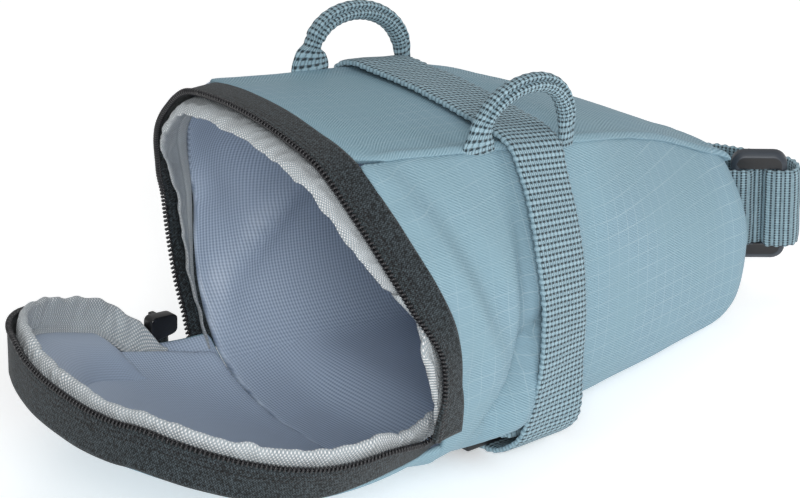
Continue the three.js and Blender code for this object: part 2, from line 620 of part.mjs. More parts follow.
bag.add(piece("body_wrap", bodyWrap(), "cloth"));
bag.add(piece("top_panel", topPanel(), "cloth"));
zipHalf("body", mouthEdge(12), 0.75);
bag.add(piece("lid_panel", lidSheet(-CLOTH / 2, CLOTH / 2, 1), "cloth"));
bag.add(piece("lid_lining", lidSheet(LINING_LOW, LINING_LOW + LINING, 0.92), "lining"));
zipHalf("lid", lidEdge(12), CLOTH / 2 + GAP + 0.25);
bag.add(piece("zip_slider", zipSlider(), "coil"));
bag.add(piece("main_strap", mainStrap(), "webbing"));
bag.add(piece("strap_buckle", strapBuckle(), "coil"));
for (const loop of LOOPS) bag.add(piece(loop.name, railLoop(loop), "webbing"));
bag.add(piece("nose_strap", noseStrap(), "webbing"));
bag.add(piece("nose_slide", noseSlide(), "plastic"));
export default bag;
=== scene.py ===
# %% [markdown]
# # A bicycle saddle bag
# This lesson dresses a bare model of a small cloth bag: ripstop nylon, webbing, a coil zip and two plastic
# fittings. The bare model is a fixed frame in metres, and every piece made here goes where the frame says.
# Small sizes are written in millimetres, and MM turns them to metres.

# %% Load the frame
import math

import bmesh
import bpy
import numpy as np
from mathutils import Matrix, Vector, kdtree, noise


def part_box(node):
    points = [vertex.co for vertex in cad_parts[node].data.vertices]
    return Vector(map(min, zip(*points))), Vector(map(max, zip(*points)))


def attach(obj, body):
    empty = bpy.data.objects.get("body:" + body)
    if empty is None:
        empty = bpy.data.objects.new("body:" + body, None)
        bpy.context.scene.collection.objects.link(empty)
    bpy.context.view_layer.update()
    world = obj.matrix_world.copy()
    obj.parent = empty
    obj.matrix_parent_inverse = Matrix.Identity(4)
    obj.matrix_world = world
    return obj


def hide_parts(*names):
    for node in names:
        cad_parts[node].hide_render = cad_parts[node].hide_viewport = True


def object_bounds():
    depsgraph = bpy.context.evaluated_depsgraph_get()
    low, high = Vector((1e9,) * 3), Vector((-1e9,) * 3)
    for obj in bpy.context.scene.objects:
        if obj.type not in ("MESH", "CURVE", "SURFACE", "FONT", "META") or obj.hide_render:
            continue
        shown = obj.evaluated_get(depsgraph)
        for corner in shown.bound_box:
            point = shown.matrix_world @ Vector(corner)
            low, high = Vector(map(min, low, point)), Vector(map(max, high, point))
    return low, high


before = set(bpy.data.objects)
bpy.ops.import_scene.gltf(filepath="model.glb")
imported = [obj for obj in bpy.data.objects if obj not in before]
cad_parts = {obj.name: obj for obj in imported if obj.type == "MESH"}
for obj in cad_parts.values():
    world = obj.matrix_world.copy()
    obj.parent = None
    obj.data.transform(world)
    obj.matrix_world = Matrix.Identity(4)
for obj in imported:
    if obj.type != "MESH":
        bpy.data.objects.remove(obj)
frame_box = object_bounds()
MM = 0.001
print("frame:", len(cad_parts), "pieces")

# %% [markdown]
# ## The camera
# A long lens a metre and a half away keeps the bag's lines nearly parallel. The camera is set by two angles
# and the point it looks at, so its turn is built from three directions: right, up and back.

# %% Place the camera
PICTURE_WIDTH = 800
FOCAL_PIXELS = 6398
SENSOR = 36.0
AZIMUTH, ELEVATION, ROLL = (math.radians(angle) for angle in (-40.7, 24.8, 0.49))
LOOK_AT = Vector((-46.1, 0.0, 44.2)) * MM
DISTANCE = 1.5

level = Vector((math.cos(AZIMUTH), math.sin(AZIMUTH), 0.0))
behind = Vector((math.sin(AZIMUTH), -math.cos(AZIMUTH), 0.0))
back = behind * math.cos(ELEVATION) + Vector((0.0, 0.0, math.sin(ELEVATION)))
upright = back.cross(level)
right = level * math.cos(ROLL) + upright * math.sin(ROLL)
up = upright * math.cos(ROLL) - level * math.sin(ROLL)

camera = bpy.data.objects.new("camera", bpy.data.cameras.new("camera"))
camera.data.sensor_width = SENSOR
camera.data.lens = FOCAL_PIXELS / PICTURE_WIDTH * SENSOR
turned = Matrix((right, up, back)).transposed().to_4x4()
camera.matrix_world = Matrix.Translation(LOOK_AT + back * DISTANCE) @ turned
bpy.context.scene.collection.objects.link(camera)
bpy.context.scene.camera = camera
print("lens:", round(camera.data.lens), "mm")

# %% [markdown]
# ## Light
# A product picture on white has one large soft key, weaker lamps above and at the nose, and a bright room.
# Small lamps would give hard shadows, so they are all area lamps. The Standard view keeps the cloth's colour
# as it is typed.

# %% Light the studio
ROOM_LIGHT = 0.42
bpy.context.scene.view_settings.view_transform = "Standard"
room = bpy.data.worlds.new("white room")
room.use_nodes = True
room.node_tree.nodes["Background"].inputs["Color"].default_value = (1.0, 1.0, 1.0, 1.0)
room.node_tree.nodes["Background"].inputs["Strength"].default_value = ROOM_LIGHT
bpy.context.scene.world = room

LAMPS = [
    {"name": "key", "place": (-0.7, -0.95, 0.55), "size": 0.5, "watts": 9.0},
    {"name": "top", "place": (-0.05, 0.25, 1.1), "size": 0.8, "watts": 1.9},
    {"name": "nose fill", "place": (0.8, -0.6, 0.5), "size": 0.6, "watts": 3.0},
]
for lamp in LAMPS:
    bpy.ops.object.light_add(type="AREA", location=lamp["place"])
    light = bpy.context.active_object
    light.name = lamp["name"]
    light.data.size = lamp["size"]
    light.data.energy = lamp["watts"]
    light.rotation_euler = (LOOK_AT - Vector(lamp["place"])).to_track_quat("-Z", "Y").to_euler()
print("lamps:", len(LAMPS))

# %% [markdown]
# ## Colours and nodes
# Colours are written as sRGB hex values, the way a paint chip or a picture editor gives them. Shader
# sockets want linear light, so one function converts them. One more function adds a node: it takes the
# node's kind, its settings, and what goes into each socket, either a value or another node.

# %% Small tools for materials
def linear(colour):
    """An sRGB hex colour as linear RGBA."""
    shares = [int(colour[i : i + 2], 16) / 255 for i in (1, 3, 5)]
    return (*[c / 12.92 if c <= 0.04045 else ((c + 0.055) / 1.055) ** 2.4 for c in shares], 1.0)


def add(tree, kind, inputs=(), **settings):
    """Adds a shader node. A node given as an input is linked by its first output."""
    made = tree.nodes.new("ShaderNode" + kind)
    for name, value in settings.items():
        setattr(made, name, value)
    for socket, value in dict(inputs).items():
        if isinstance(value, bpy.types.Node):
            value = value.outputs[0]
        if isinstance(value, bpy.types.NodeSocket):
            tree.links.new(value, made.inputs[socket])
        else:
            made.inputs[socket].default_value = value
    return made


def new_finish(name, **sockets):
    """A new material with plain values on its shader's sockets, its tree and its shader."""
    made = bpy.data.materials.new(name)
    made.use_nodes = True
    shader = made.node_tree.nodes["Principled BSDF"]
    for socket, value in sockets.items():
        shader.inputs[socket.replace("_", " ")].default_value = value
    return made, made.node_tree, shader


def feed(tree, shader, **outputs):
    """Links node outputs to the shader's sockets."""
    for socket, output in outputs.items():
        tree.links.new(output, shader.inputs[socket.replace("_", " ")])


CUT = "cut"  # every cloth piece carries its flat cut, in millimetres, as a UV map of this name

# %% [markdown]
# ## Ripstop nylon
# The body is a coated nylon twill. Fine diagonal ribs cover it, and every few millimetres a thicker thread
# runs both ways, which stops a tear and shows as a faint pale grid. The coating is matt. An image could be
# laid on it, but waves across the flat cut draw ribs and grid at their size in millimetres. The ribs are
# coarser than the real ones, so that they show at this picture size. Slow noise fades the dye and the grid
# here and there, as wear does.

# %% Ripstop nylon
TWILL = 0.67
TWILL_SLANT = 0.62
RIPSTOP = 4.0
RIPSTOP_THREAD = 0.16
DYE_PATCHES, WORN_PATCHES, YARN_FLOATS, FIBRES = 0.04, 0.075, 1.1, 2.6  # noise cells in a millimetre


def ripstop_nylon():
    finish, tree, shader = new_finish("ripstop nylon", Roughness=0.62, Specular_IOR_Level=0.2)
    cut = add(tree, "SeparateXYZ", {0: add(tree, "UVMap", uv_map=CUT)})
    along, up = cut.outputs[:2]
    slant = add(tree, "Math", {0: along, 1: TWILL_SLANT, 2: up}, operation="MULTIPLY_ADD")
    ribs = add(tree, "Math", {0: slant, 1: math.tau / TWILL}, operation="MULTIPLY")
    ribs = add(tree, "Math", {0: ribs}, operation="SINE")
    ribs = add(tree, "Math", {0: ribs, 1: 0.5, 2: 0.5}, operation="MULTIPLY_ADD")
    lengthwise = add(tree, "Math", {0: along, 1: RIPSTOP / 2}, operation="PINGPONG")
    crosswise = add(tree, "Math", {0: up, 1: RIPSTOP / 2}, operation="PINGPONG")
    grid = add(tree, "Math", {0: lengthwise, 1: crosswise}, operation="MINIMUM")
    grid = add(tree, "MapRange", {0: grid, 1: RIPSTOP_THREAD / 2, 2: RIPSTOP_THREAD, 3: 1.0, 4: 0.0})
    place = add(tree, "TexCoord").outputs["Object"]
    dye = add(tree, "TexNoise", {"Vector": place, "Scale": DYE_PATCHES / MM, "Detail": 3.0, "Roughness": 0.6})
    fibre = add(tree, "TexNoise", {"Vector": place, "Scale": FIBRES / MM, "Detail": 2.0})
    worn = add(tree, "TexNoise", {"Vector": place, "Scale": WORN_PATCHES / MM, "Detail": 2.0})
    worn = add(tree, "MapRange", {0: worn, 1: 0.35, 2: 0.65, 3: 0.35, 4: 0.95})
    floats = add(tree, "TexNoise", {"Vector": place, "Scale": YARN_FLOATS / MM, "Detail": 1.0})
    floats = add(tree, "MapRange", {0: floats, 1: 0.3, 2: 0.7, 3: 0.3, 4: 1.5})
    contrast = add(tree, "Math", {0: worn, 1: floats}, operation="MULTIPLY")
    ribs = add(tree, "Math", {0: ribs, 1: 0.5}, operation="SUBTRACT")
    ribs = add(tree, "Math", {0: ribs, 1: contrast, 2: 0.5}, operation="MULTIPLY_ADD")
    tint = add(tree, "Mix", {0: ribs, 6: linear("#6A8795"), 7: linear("#92B0BC")}, data_type="RGBA")
    faded = add(tree, "MapRange", {0: dye, 1: 0.4, 2: 0.7, 3: 0.0, 4: 0.4})
    tint = add(tree, "Mix", {0: faded, 6: tint.outputs[2], 7: linear("#809BAC")}, data_type="RGBA")
    shown = add(tree, "MapRange", {0: dye, 1: 0.4, 2: 0.65, 3: 0.08, 4: 0.34})
    pale = add(tree, "Math", {0: grid, 1: shown}, operation="MULTIPLY")
    tint = add(tree, "Mix", {0: pale, 6: tint.outputs[2], 7: linear("#AFC4CB")}, data_type="RGBA")
    height = add(tree, "Math", {0: grid, 1: 0.4, 2: ribs}, operation="MULTIPLY_ADD")
    height = add(tree, "Math", {0: fibre, 1: 0.5, 2: height}, operation="MULTIPLY_ADD")
    bump = add(tree, "Bump", {"Strength": 0.4, "Distance": 0.14 * MM, "Height": height})
    feed(tree, shader, Base_Color=tint.outputs[2], Normal=bump.outputs[0])
    return finish


cloth_finish = ripstop_nylon()

# %% [markdown]
# ## Coated lining
# Inside, the bag shows a thin woven lining with a smooth coating. It is bluer and greyer than the outside,
# has a plain square weave, and is glossy enough to show a soft streak of light. Its weave is drawn on the
# flat cut as well, and slow noise varies its gloss.

# %% Coated lining
LINING_THREAD = 0.75
LINING_WEAR = 0.055  # noise cells in a millimetre


def coated_lining():
    finish, tree, shader = new_finish("coated polyester lining", Roughness=0.42, Sheen_Weight=0.1)
    cut = add(tree, "SeparateXYZ", {0: add(tree, "UVMap", uv_map=CUT)})
    warp = add(tree, "Math", {0: cut.outputs[0], 1: LINING_THREAD / 2}, operation="PINGPONG")
    weft = add(tree, "Math", {0: cut.outputs[1], 1: LINING_THREAD / 2}, operation="PINGPONG")
    weave = add(tree, "Math", {0: weft, 1: 0.45, 2: warp}, operation="MULTIPLY_ADD")
    weave = add(tree, "MapRange", {0: weave, 1: 0.05, 2: 0.5})
    place = add(tree, "TexCoord").outputs["Object"]
    worn = add(tree, "TexNoise", {"Vector": place, "Scale": LINING_WEAR / MM, "Detail": 4.0})
    tint = add(tree, "Mix", {0: weave, 6: linear("#7C8CA4"), 7: linear("#BFCEE0")}, data_type="RGBA")
    faded = add(tree, "MapRange", {0: worn, 1: 0.4, 2: 0.7, 3: 0.0, 4: 0.35})
    tint = add(tree, "Mix", {0: faded, 6: tint.outputs[2], 7: linear("#A3B2C6")}, data_type="RGBA")
    gloss = add(tree, "MapRange", {0: worn, 3: 0.36, 4: 0.5})
    bump = add(tree, "Bump", {"Strength": 0.4, "Distance": 0.1 * MM, "Height": weave})
    feed(tree, shader, Base_Color=tint.outputs[2], Roughness=gloss.outputs[0], Normal=bump.outputs[0])
    return finish


lining_finish = coated_lining()

# %% [markdown]
# ## Polyester webbing
# Straps are woven from thick yarns in rows. A row of fat beads and a row of thin ones, two for each fat
# bead, take turns, and gaps open between two rows wherever two fat beads meet. The beads are too many
# to model, so the material's bump raises them, and only the strap's edges and bends are in the mesh. The
# colour darkens the furrows between rows, the bead edges and the gaps: painted shade of the weave's hollows.

# %% Polyester webbing
BEAD_ROW = 1.3
BEAD_COLUMN = 1.45
YARN_TONES = 0.9  # noise cells in a millimetre


def polyester_webbing():
    finish, tree, shader = new_finish(
        "polyester webbing", Roughness=0.74, Sheen_Weight=0.12, Specular_IOR_Level=0.3
    )
    cut = add(tree, "SeparateXYZ", {0: add(tree, "UVMap", uv_map=CUT)})
    row = add(tree, "Math", {0: cut.outputs[0], 1: 1 / BEAD_ROW}, operation="MULTIPLY")
    column = add(tree, "Math", {0: cut.outputs[1], 1: 1 / BEAD_COLUMN}, operation="MULTIPLY")
    off_row = add(tree, "Math", {0: row, 1: 0.5}, operation="PINGPONG")
    off_bead = add(tree, "Math", {0: column, 1: 0.5}, operation="PINGPONG")
    off_thin = add(tree, "Math", {0: off_bead, 1: 0.25}, operation="PINGPONG")
    thin_row = add(tree, "Math", {0: row, 1: 1.0}, operation="PINGPONG")
    thin_row = add(tree, "MapRange", {0: thin_row, 1: 0.4, 2: 0.6})
    furrow = add(tree, "MapRange", {0: off_row, 1: 0.22, 2: 0.46}, interpolation_type="SMOOTHSTEP")
    meet = add(tree, "MapRange", {0: off_bead, 1: 0.1, 2: 0.34}, interpolation_type="SMOOTHSTEP")
    gap = add(tree, "Math", {0: furrow, 1: meet}, operation="MULTIPLY")
    fat_edge = add(tree, "MapRange", {0: off_bead, 1: 0.34, 2: 0.5, 4: 0.6})
    thin_edge = add(tree, "MapRange", {0: off_thin, 1: 0.13, 2: 0.25, 4: 0.6})
    edge = add(tree, "Mix", {0: thin_row, 2: fat_edge, 3: thin_edge})
    place = add(tree, "TexCoord").outputs["Object"]
    tone = add(tree, "TexNoise", {"Vector": place, "Scale": YARN_TONES / MM, "Detail": 3.0})
    tint = add(tree, "Mix", {0: tone, 6: linear("#7A96A3"), 7: linear("#A3BFCA")}, data_type="RGBA")
    # painted shade: the furrows between rows, the bead edges and the gaps are darkened in the colour
    shade = add(tree, "Math", {0: furrow, 1: 0.5, 2: edge}, operation="MULTIPLY_ADD")
    tint = add(tree, "Mix", {0: shade, 6: tint.outputs[2], 7: linear("#4A6672")}, data_type="RGBA")
    tint = add(tree, "Mix", {0: gap, 6: tint.outputs[2], 7: linear("#182C36")}, data_type="RGBA")
    height = add(tree, "Math", {0: gap, 1: shade}, operation="ADD")
    bump = add(tree, "Bump", {"Strength": 0.9, "Distance": 0.4 * MM, "Height": height}, invert=True)
    feed(tree, shader, Base_Color=tint.outputs[2], Normal=bump.outputs[0])
    return finish


webbing_finish = polyester_webbing()

# %% [markdown]
# ## Zip tape and coil
# A coil zip has a charcoal tape woven in a herringbone, with two rows of needle holes beside the coil,
# where the coil is sewn on. The holes are coloured near-black, as painted shade in their hollows. A zigzag
# across the tape turns its ribs back and forth, and flecks of noise break them up. The coil itself is one
# thick nylon thread, glossy and nearly black.

# %% Zip tape and coil
HERRINGBONE = 0.65
CHEVRON = 1.1
TAPE_FLECKS = 1.5  # noise cells in a millimetre
NEEDLE = 1.05
TAPE_WIDTH = 9.6
NEEDLE_ROWS = (TAPE_WIDTH - 1.6, TAPE_WIDTH - 3.0)
COIL_WEAR = 0.7  # noise cells in a millimetre


def zip_tape_weave():
    finish, tree, shader = new_finish(
        "herringbone zip tape", Roughness=0.85, Sheen_Weight=0.1, Specular_IOR_Level=0.25
    )
    cut = add(tree, "SeparateXYZ", {0: add(tree, "UVMap", uv_map=CUT)})
    chevron = add(tree, "Math", {0: cut.outputs[1], 1: CHEVRON / 2}, operation="PINGPONG")
    slant = add(tree, "Math", {0: cut.outputs[0], 1: chevron}, operation="ADD")
    ribs = add(tree, "Math", {0: slant, 1: HERRINGBONE / 2}, operation="PINGPONG")
    ribs = add(tree, "MapRange", {0: ribs, 1: 0.0, 2: HERRINGBONE / 2})
    place = add(tree, "TexCoord").outputs["Object"]
    fleck = add(tree, "TexNoise", {"Vector": place, "Scale": TAPE_FLECKS / MM, "Detail": 2.0})
    fleck = add(tree, "MapRange", {0: fleck, 1: 0.36, 2: 0.64, 3: 0.1, 4: 1.0})
    ribs = add(tree, "Math", {0: ribs, 1: fleck}, operation="MULTIPLY")
    tint = add(tree, "Mix", {0: ribs, 6: linear("#090B0C"), 7: linear("#4A565C")}, data_type="RGBA")
    along = add(tree, "Math", {0: cut.outputs[0], 1: NEEDLE / 2}, operation="PINGPONG")
    holes = None
    for row in NEEDLE_ROWS:
        off = add(tree, "Math", {0: cut.outputs[1], 1: row}, operation="SUBTRACT")
        reach = add(tree, "CombineXYZ", {0: along, 1: off})
        reach = add(tree, "VectorMath", {0: reach}, operation="LENGTH").outputs["Value"]
        hole = add(tree, "MapRange", {0: reach, 1: 0.18, 2: 0.34, 3: 1.0, 4: 0.0})
        holes = hole if holes is None else add(tree, "Math", {0: holes, 1: hole}, operation="MAXIMUM")
    # painted shade: the needle holes are coloured near-black, for the shade inside them
    tint = add(tree, "Mix", {0: holes, 6: tint.outputs[2], 7: linear("#0C0C0E")}, data_type="RGBA")
    height = add(tree, "Math", {0: ribs, 1: holes}, operation="SUBTRACT")
    bump = add(tree, "Bump", {"Strength": 0.6, "Distance": 0.2 * MM, "Height": height})
    feed(tree, shader, Base_Color=tint.outputs[2], Normal=bump.outputs[0])
    return finish


def coil_nylon():
    finish, tree, shader = new_finish("black nylon coil", Roughness=0.32)
    place = add(tree, "TexCoord").outputs["Object"]
    wear = add(tree, "TexNoise", {"Vector": place, "Scale": COIL_WEAR / MM, "Detail": 2.0})
    tint = add(tree, "Mix", {0: wear, 6: linear("#0F0F11"), 7: linear("#26262A")}, data_type="RGBA")
    gloss = add(tree, "MapRange", {0: wear, 3: 0.24, 4: 0.42})
    feed(tree, shader, Base_Color=tint.outputs[2], Roughness=gloss.outputs[0])
    return finish


tape_finish = zip_tape_weave()
coil_finish = coil_nylon()

# %% [markdown]
# ## Grosgrain binding
# The raw seam behind the zip is wrapped in pale grey ribbon. Close up, its weave is a lattice of small
# beads, which two sets of slanting ribs give where they cross. Slow noise soils it a little.

# %% Grosgrain binding
RIB = 0.95
RIB_LEAN = 0.8
RIBBON_SOIL = 0.12  # noise cells in a millimetre


def grosgrain():
    finish, tree, shader = new_finish(
        "grosgrain ribbon", Roughness=0.8, Sheen_Weight=0.2, Specular_IOR_Level=0.25
    )
    cut = add(tree, "SeparateXYZ", {0: add(tree, "UVMap", uv_map=CUT)})
    ribs = []
    for lean in (RIB_LEAN, -RIB_LEAN):
        rib = add(tree, "Math", {0: cut.outputs[1], 1: lean, 2: cut.outputs[0]}, operation="MULTIPLY_ADD")
        rib = add(tree, "Math", {0: rib, 1: RIB / 2}, operation="PINGPONG")
        rib = add(tree, "MapRange", {0: rib, 2: RIB / 2, 3: 0.1}, interpolation_type="SMOOTHSTEP")
        ribs.append(rib)
    weave = add(tree, "Math", {0: ribs[0], 1: ribs[1]}, operation="MULTIPLY")
    place = add(tree, "TexCoord").outputs["Object"]
    soil = add(tree, "TexNoise", {"Vector": place, "Scale": RIBBON_SOIL / MM, "Detail": 4.0})
    tint = add(tree, "Mix", {0: weave, 6: linear("#838F96"), 7: linear("#FFFFFF")}, data_type="RGBA")
    faded = add(tree, "MapRange", {0: soil, 1: 0.4, 2: 0.75, 3: 0.0, 4: 0.4})
    tint = add(tree, "Mix", {0: faded, 6: tint.outputs[2], 7: linear("#C8D2D6")}, data_type="RGBA")
    bump = add(tree, "Bump", {"Strength": 0.8, "Distance": 0.3 * MM, "Height": weave})
    feed(tree, shader, Base_Color=tint.outputs[2], Normal=bump.outputs[0])
    return finish


binding_finish = grosgrain()

# %% [markdown]
# ## Moulded plastic and paint
# The slide at the nose is a dark grey acetal moulding with a fine spark-eroded grain. The buckle is the
# same plastic in black, and the zip's slider is zinc with black paint. Paint hides the metal, so one
# function makes all three, and they differ in colour and gloss.

# %% Moulded plastic and paint
GRAIN = 0.25
MOULD_CLOUDS = 0.15  # noise cells in a millimetre


def moulded_acetal(name, dark, pale, rough):
    finish, tree, shader = new_finish(name, Roughness=rough)
    place = add(tree, "TexCoord").outputs["Object"]
    grain = add(tree, "TexNoise", {"Vector": place, "Scale": 1 / (GRAIN * MM), "Detail": 2.0})
    cloud = add(tree, "TexNoise", {"Vector": place, "Scale": MOULD_CLOUDS / MM, "Detail": 3.0})
    tint = add(tree, "Mix", {0: cloud, 6: linear(dark), 7: linear(pale)}, data_type="RGBA")
    gloss = add(tree, "MapRange", {0: cloud, 3: rough - 0.06, 4: rough + 0.08})
    bump = add(tree, "Bump", {"Strength": 0.25, "Distance": 0.05 * MM, "Height": grain})
    feed(tree, shader, Base_Color=tint.outputs[2], Roughness=gloss.outputs[0], Normal=bump.outputs[0])
    return finish


slide_finish = moulded_acetal("grey acetal", "#282E36", "#343B44", 0.42)
# the black acetal is the buckle's own colour; on the slide's middle bar it is painted shade
buckle_and_bar_shade_finish = moulded_acetal("black acetal", "#141416", "#1E1E21", 0.4)
slider_finish = moulded_acetal("painted zinc", "#111113", "#1B1B1E", 0.28)
print("finishes:", len(bpy.data.materials))

# %% [markdown]
# ## The floor
# A wide pale sheet stands for the table. Like a light table it glows a little, which keeps it white and
# lights the bag from below.

# %% Floor
FLOOR_SIZE = 12.0
FLOOR_GAP = 0.02 * MM
FLOOR_GLOW = 0.35
bpy.ops.mesh.primitive_plane_add(size=FLOOR_SIZE, location=(0, 0, frame_box[0].z - FLOOR_GAP))
floor = bpy.context.active_object
floor.name = "floor"
floor_finish, _, floor_shader = new_finish("white paper", Roughness=0.9)
floor_shader.inputs["Base Color"].default_value = linear("#FAFAFA")
floor_shader.inputs["Emission Color"].default_value = linear("#FFFFFF")
floor_shader.inputs["Emission Strength"].default_value = FLOOR_GLOW
floor.data.materials.append(floor_finish)
print("floor:", FLOOR_SIZE, "m")

# %% [markdown]
# ## Working as by hand
# Operators act on whatever is selected, so each step first selects one piece alone. These helpers wrap the
# moves that every piece needs: select it, apply a modifier to it, read and move its points, and hand it
# over.

# %% Helpers for pieces
def activate(piece):
    """Selects one piece alone and makes it the active one."""
    bpy.ops.object.select_all(action="DESELECT")
    piece.select_set(True)
    bpy.context.view_layer.objects.active = piece


def apply_modifier(piece, kind, **settings):
    """Adds a modifier with its settings and applies it."""
    activate(piece)
    modifier = piece.modifiers.new(kind.lower(), kind)
    for name, value in settings.items():
        setattr(modifier, name, value)
    bpy.ops.object.modifier_apply(modifier=modifier.name)


def points_of(piece):
    """A piece's points as rows of x, y and z."""
    flat = np.empty(3 * len(piece.data.vertices))
    piece.data.vertices.foreach_get("co", flat)
    return flat.reshape(-1, 3)


def move_points(piece, points):
    """Puts a piece's points at new places."""
    piece.data.vertices.foreach_set("co", points.ravel())
    piece.data.update()


def settle(piece, slot, *nodes):
    """Hands a finished piece to the frame, in place of the bare nodes it stands for."""
    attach(piece, "root")
    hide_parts(*nodes)
    print(piece.name, len(piece.data.polygons), "faces")


def hand_over(piece, slot, *nodes):
    """Shades a soft piece smooth and settles it."""
    activate(piece)
    bpy.ops.object.shade_smooth()
    settle(piece, slot, *nodes)


def smooth_step(t):
    """Runs from 0 to 1 with soft ends."""
    t = np.clip(t, 0, 1)
    return t * t * (3 - 2 * t)


# %% [markdown]
# ## Cloth panels
# The bare panels already have the bag's true shape and thickness, in coarse triangles. A copy is merged,
# its triangles are paired back into quads, and its rims are creased, so that subdivision gives a smooth
# cloth with a soft folded edge. Before that the panel is unwrapped: cloth is cut flat, so its weave should
# lie flat as well. Each island is then turned and scaled so that the map is the flat cut in millimetres.
# A cloth simulation could find folds by itself, but it would not keep to the frame.

# %% Copy a panel and lay its cut out flat
RIM_ANGLE = math.radians(50)
QUAD_ANGLE = math.radians(70)


def cloth_copy(node, name, crease, outer, inner):
    """A merged copy of a bare panel with its rims creased, and a finish for each of its faces."""
    piece = bpy.data.objects.new(name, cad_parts[node].data.copy())
    bpy.context.scene.collection.objects.link(piece)
    piece.data.materials.clear()
    piece.data.materials.append(outer)
    piece.data.materials.append(inner)
    activate(piece)
    bpy.ops.mesh.customdata_custom_splitnormals_clear()
    bpy.ops.object.mode_set(mode="EDIT")
    bpy.ops.mesh.select_all(action="SELECT")
    bpy.ops.mesh.remove_doubles(threshold=MM / 100)
    bpy.ops.mesh.tris_convert_to_quads(face_threshold=QUAD_ANGLE, shape_threshold=QUAD_ANGLE)
    bpy.ops.mesh.select_mode(type="EDGE")
    bpy.ops.mesh.select_all(action="DESELECT")
    bpy.ops.mesh.edges_select_sharp(sharpness=RIM_ANGLE)
    bpy.ops.mesh.mark_seam()
    bpy.ops.transform.edge_crease(value=crease)
    bpy.ops.object.mode_set(mode="OBJECT")
    return piece


def flat_area(corners):
    """The area of a face on its map."""
    x, y = corners.T
    return abs(np.dot(x, np.roll(y, -1)) - np.dot(y, np.roll(x, -1))) / 2


def panels_of(mesh):
    """The faces of a mesh in sets that seams divide."""
    left = set(mesh.faces)
    for first in mesh.faces:
        if first not in left:
            continue
        left.remove(first)
        panel, waiting = [], [first]
        while waiting:
            face = waiting.pop()
            panel.append(face)
            for edge in face.edges:
                for other in () if edge.seam else edge.link_faces:
                    if other in left:
                        left.remove(other)
                        waiting.append(other)
        yield panel


FACES_INWARDS = -0.55


def lay_out(piece, outward):
    """Unwraps a panel to its flat cut. Faces that look against outward get the second finish."""
    activate(piece)
    bpy.ops.object.mode_set(mode="EDIT")
    bpy.ops.mesh.select_all(action="SELECT")
    bpy.ops.uv.unwrap(method="ANGLE_BASED", margin=0.01)
    bpy.ops.object.mode_set(mode="OBJECT")
    mesh = bmesh.new()
    mesh.from_mesh(piece.data)
    layer = mesh.loops.layers.uv.active
    for panel in panels_of(mesh):
        corners = [loop for face in panel for loop in face.loops]
        flat = np.array([loop[layer].uv for loop in corners])
        along = np.array([loop.vert.co.x for loop in corners])
        real = sum(face.calc_area() for face in panel)
        drawn = sum(flat_area(np.array([loop[layer].uv for loop in face.loops])) for face in panel)
        size = math.sqrt(real / max(drawn, 1e-12)) / MM
        heading = np.linalg.lstsq(np.c_[flat, np.ones(len(flat))], along, rcond=None)[0]
        turn = Matrix.Rotation(-math.atan2(heading[1], heading[0]), 2)
        for loop in corners:
            loop[layer].uv = turn @ loop[layer].uv * size
        facing = 0
        for face in panel:
            out = outward(face.calc_center_median()).normalized()
            facing += face.calc_area() * face.normal.dot(out)
        for face in panel:
            face.material_index = int(facing < FACES_INWARDS * real)
    mesh.to_mesh(piece.data)
    mesh.free()
    piece.data.uv_layers.active.name = CUT


def subdivide(piece):
    """Smooths a creased copy to cloth."""
    apply_modifier(piece, "SUBSURF", levels=2, render_levels=2)


# %% [markdown]
# ## Folds
# Cloth is never as smooth as a drawing. A short table holds the folds that show on the sides: the pull
# beside the zip, the crease beside the strap, and where the strap presses in. Each is a soft bump with a
# length and a width. The underside's near corner is drawn up at the lid's hinge, and a faint noise over all
# of it keeps any stretch from looking machined. Sculpting would do the same by hand, but a table can be
# read and changed.

# %% Folds of the sides
SIDE_FOLDS = [
    {"side": -1, "x": -70, "z": 64, "angle": -68, "long": 22, "wide": 4.5, "out": 2.8},
    {"side": -1, "x": -61, "z": 58, "angle": -66, "long": 24, "wide": 5.0, "out": -3.2},
    {"side": -1, "x": -49, "z": 29, "angle": 48, "long": 14, "wide": 2.0, "out": -5.2},
    {"side": -1, "x": -54, "z": 18, "angle": 70, "long": 9, "wide": 2.4, "out": -2.2},
    {"side": -1, "x": -58, "z": 36, "angle": 40, "long": 16, "wide": 5.0, "out": 1.4},
    {"side": -1, "x": -45, "z": 21, "angle": 50, "long": 9, "wide": 3.6, "out": 2.6},
    {"side": -1, "x": -45, "z": 14, "angle": 0, "long": 8, "wide": 6.0, "out": 4.2},
    {"side": -1, "x": -45, "z": 48, "angle": 84, "long": 24, "wide": 3.4, "out": -3.2},
    {"side": -1, "x": -20, "z": 45, "angle": 84, "long": 22, "wide": 3.5, "out": -1.0},
    {"side": -1, "x": 8, "z": 44, "angle": -24, "long": 22, "wide": 7.0, "out": 0.7},
    {"side": 1, "x": -62, "z": 58, "angle": -64, "long": 22, "wide": 5.0, "out": 1.4},
    {"side": 1, "x": -50, "z": 34, "angle": 48, "long": 14, "wide": 3.0, "out": -2.0},
    {"side": 1, "x": -17, "z": 44, "angle": 84, "long": 22, "wide": 3.5, "out": -1.0},
    {"side": 1, "x": 10, "z": 36, "angle": -30, "long": 18, "wide": 5.0, "out": 0.8},
]
HINGE_LIFT = {"x": -76, "long": 18, "y": -18, "wide": 18, "z": 18, "tall": 14, "up": 5.0}
RIPPLE = {"scale": 55.0, "out": 0.4}
PUCKER = {"scale": 130.0, "out": 1.3}


def fold_height(fold, x, z):
    """How far one fold stands out at places on a side."""
    turn = math.radians(fold["angle"])
    dx, dz = x / MM - fold["x"], z / MM - fold["z"]
    along = (dx * math.cos(turn) + dz * math.sin(turn)) / fold["long"]
    across = (dz * math.cos(turn) - dx * math.sin(turn)) / fold["wide"]
    return fold["out"] * MM * np.exp(-along * along - across * across)


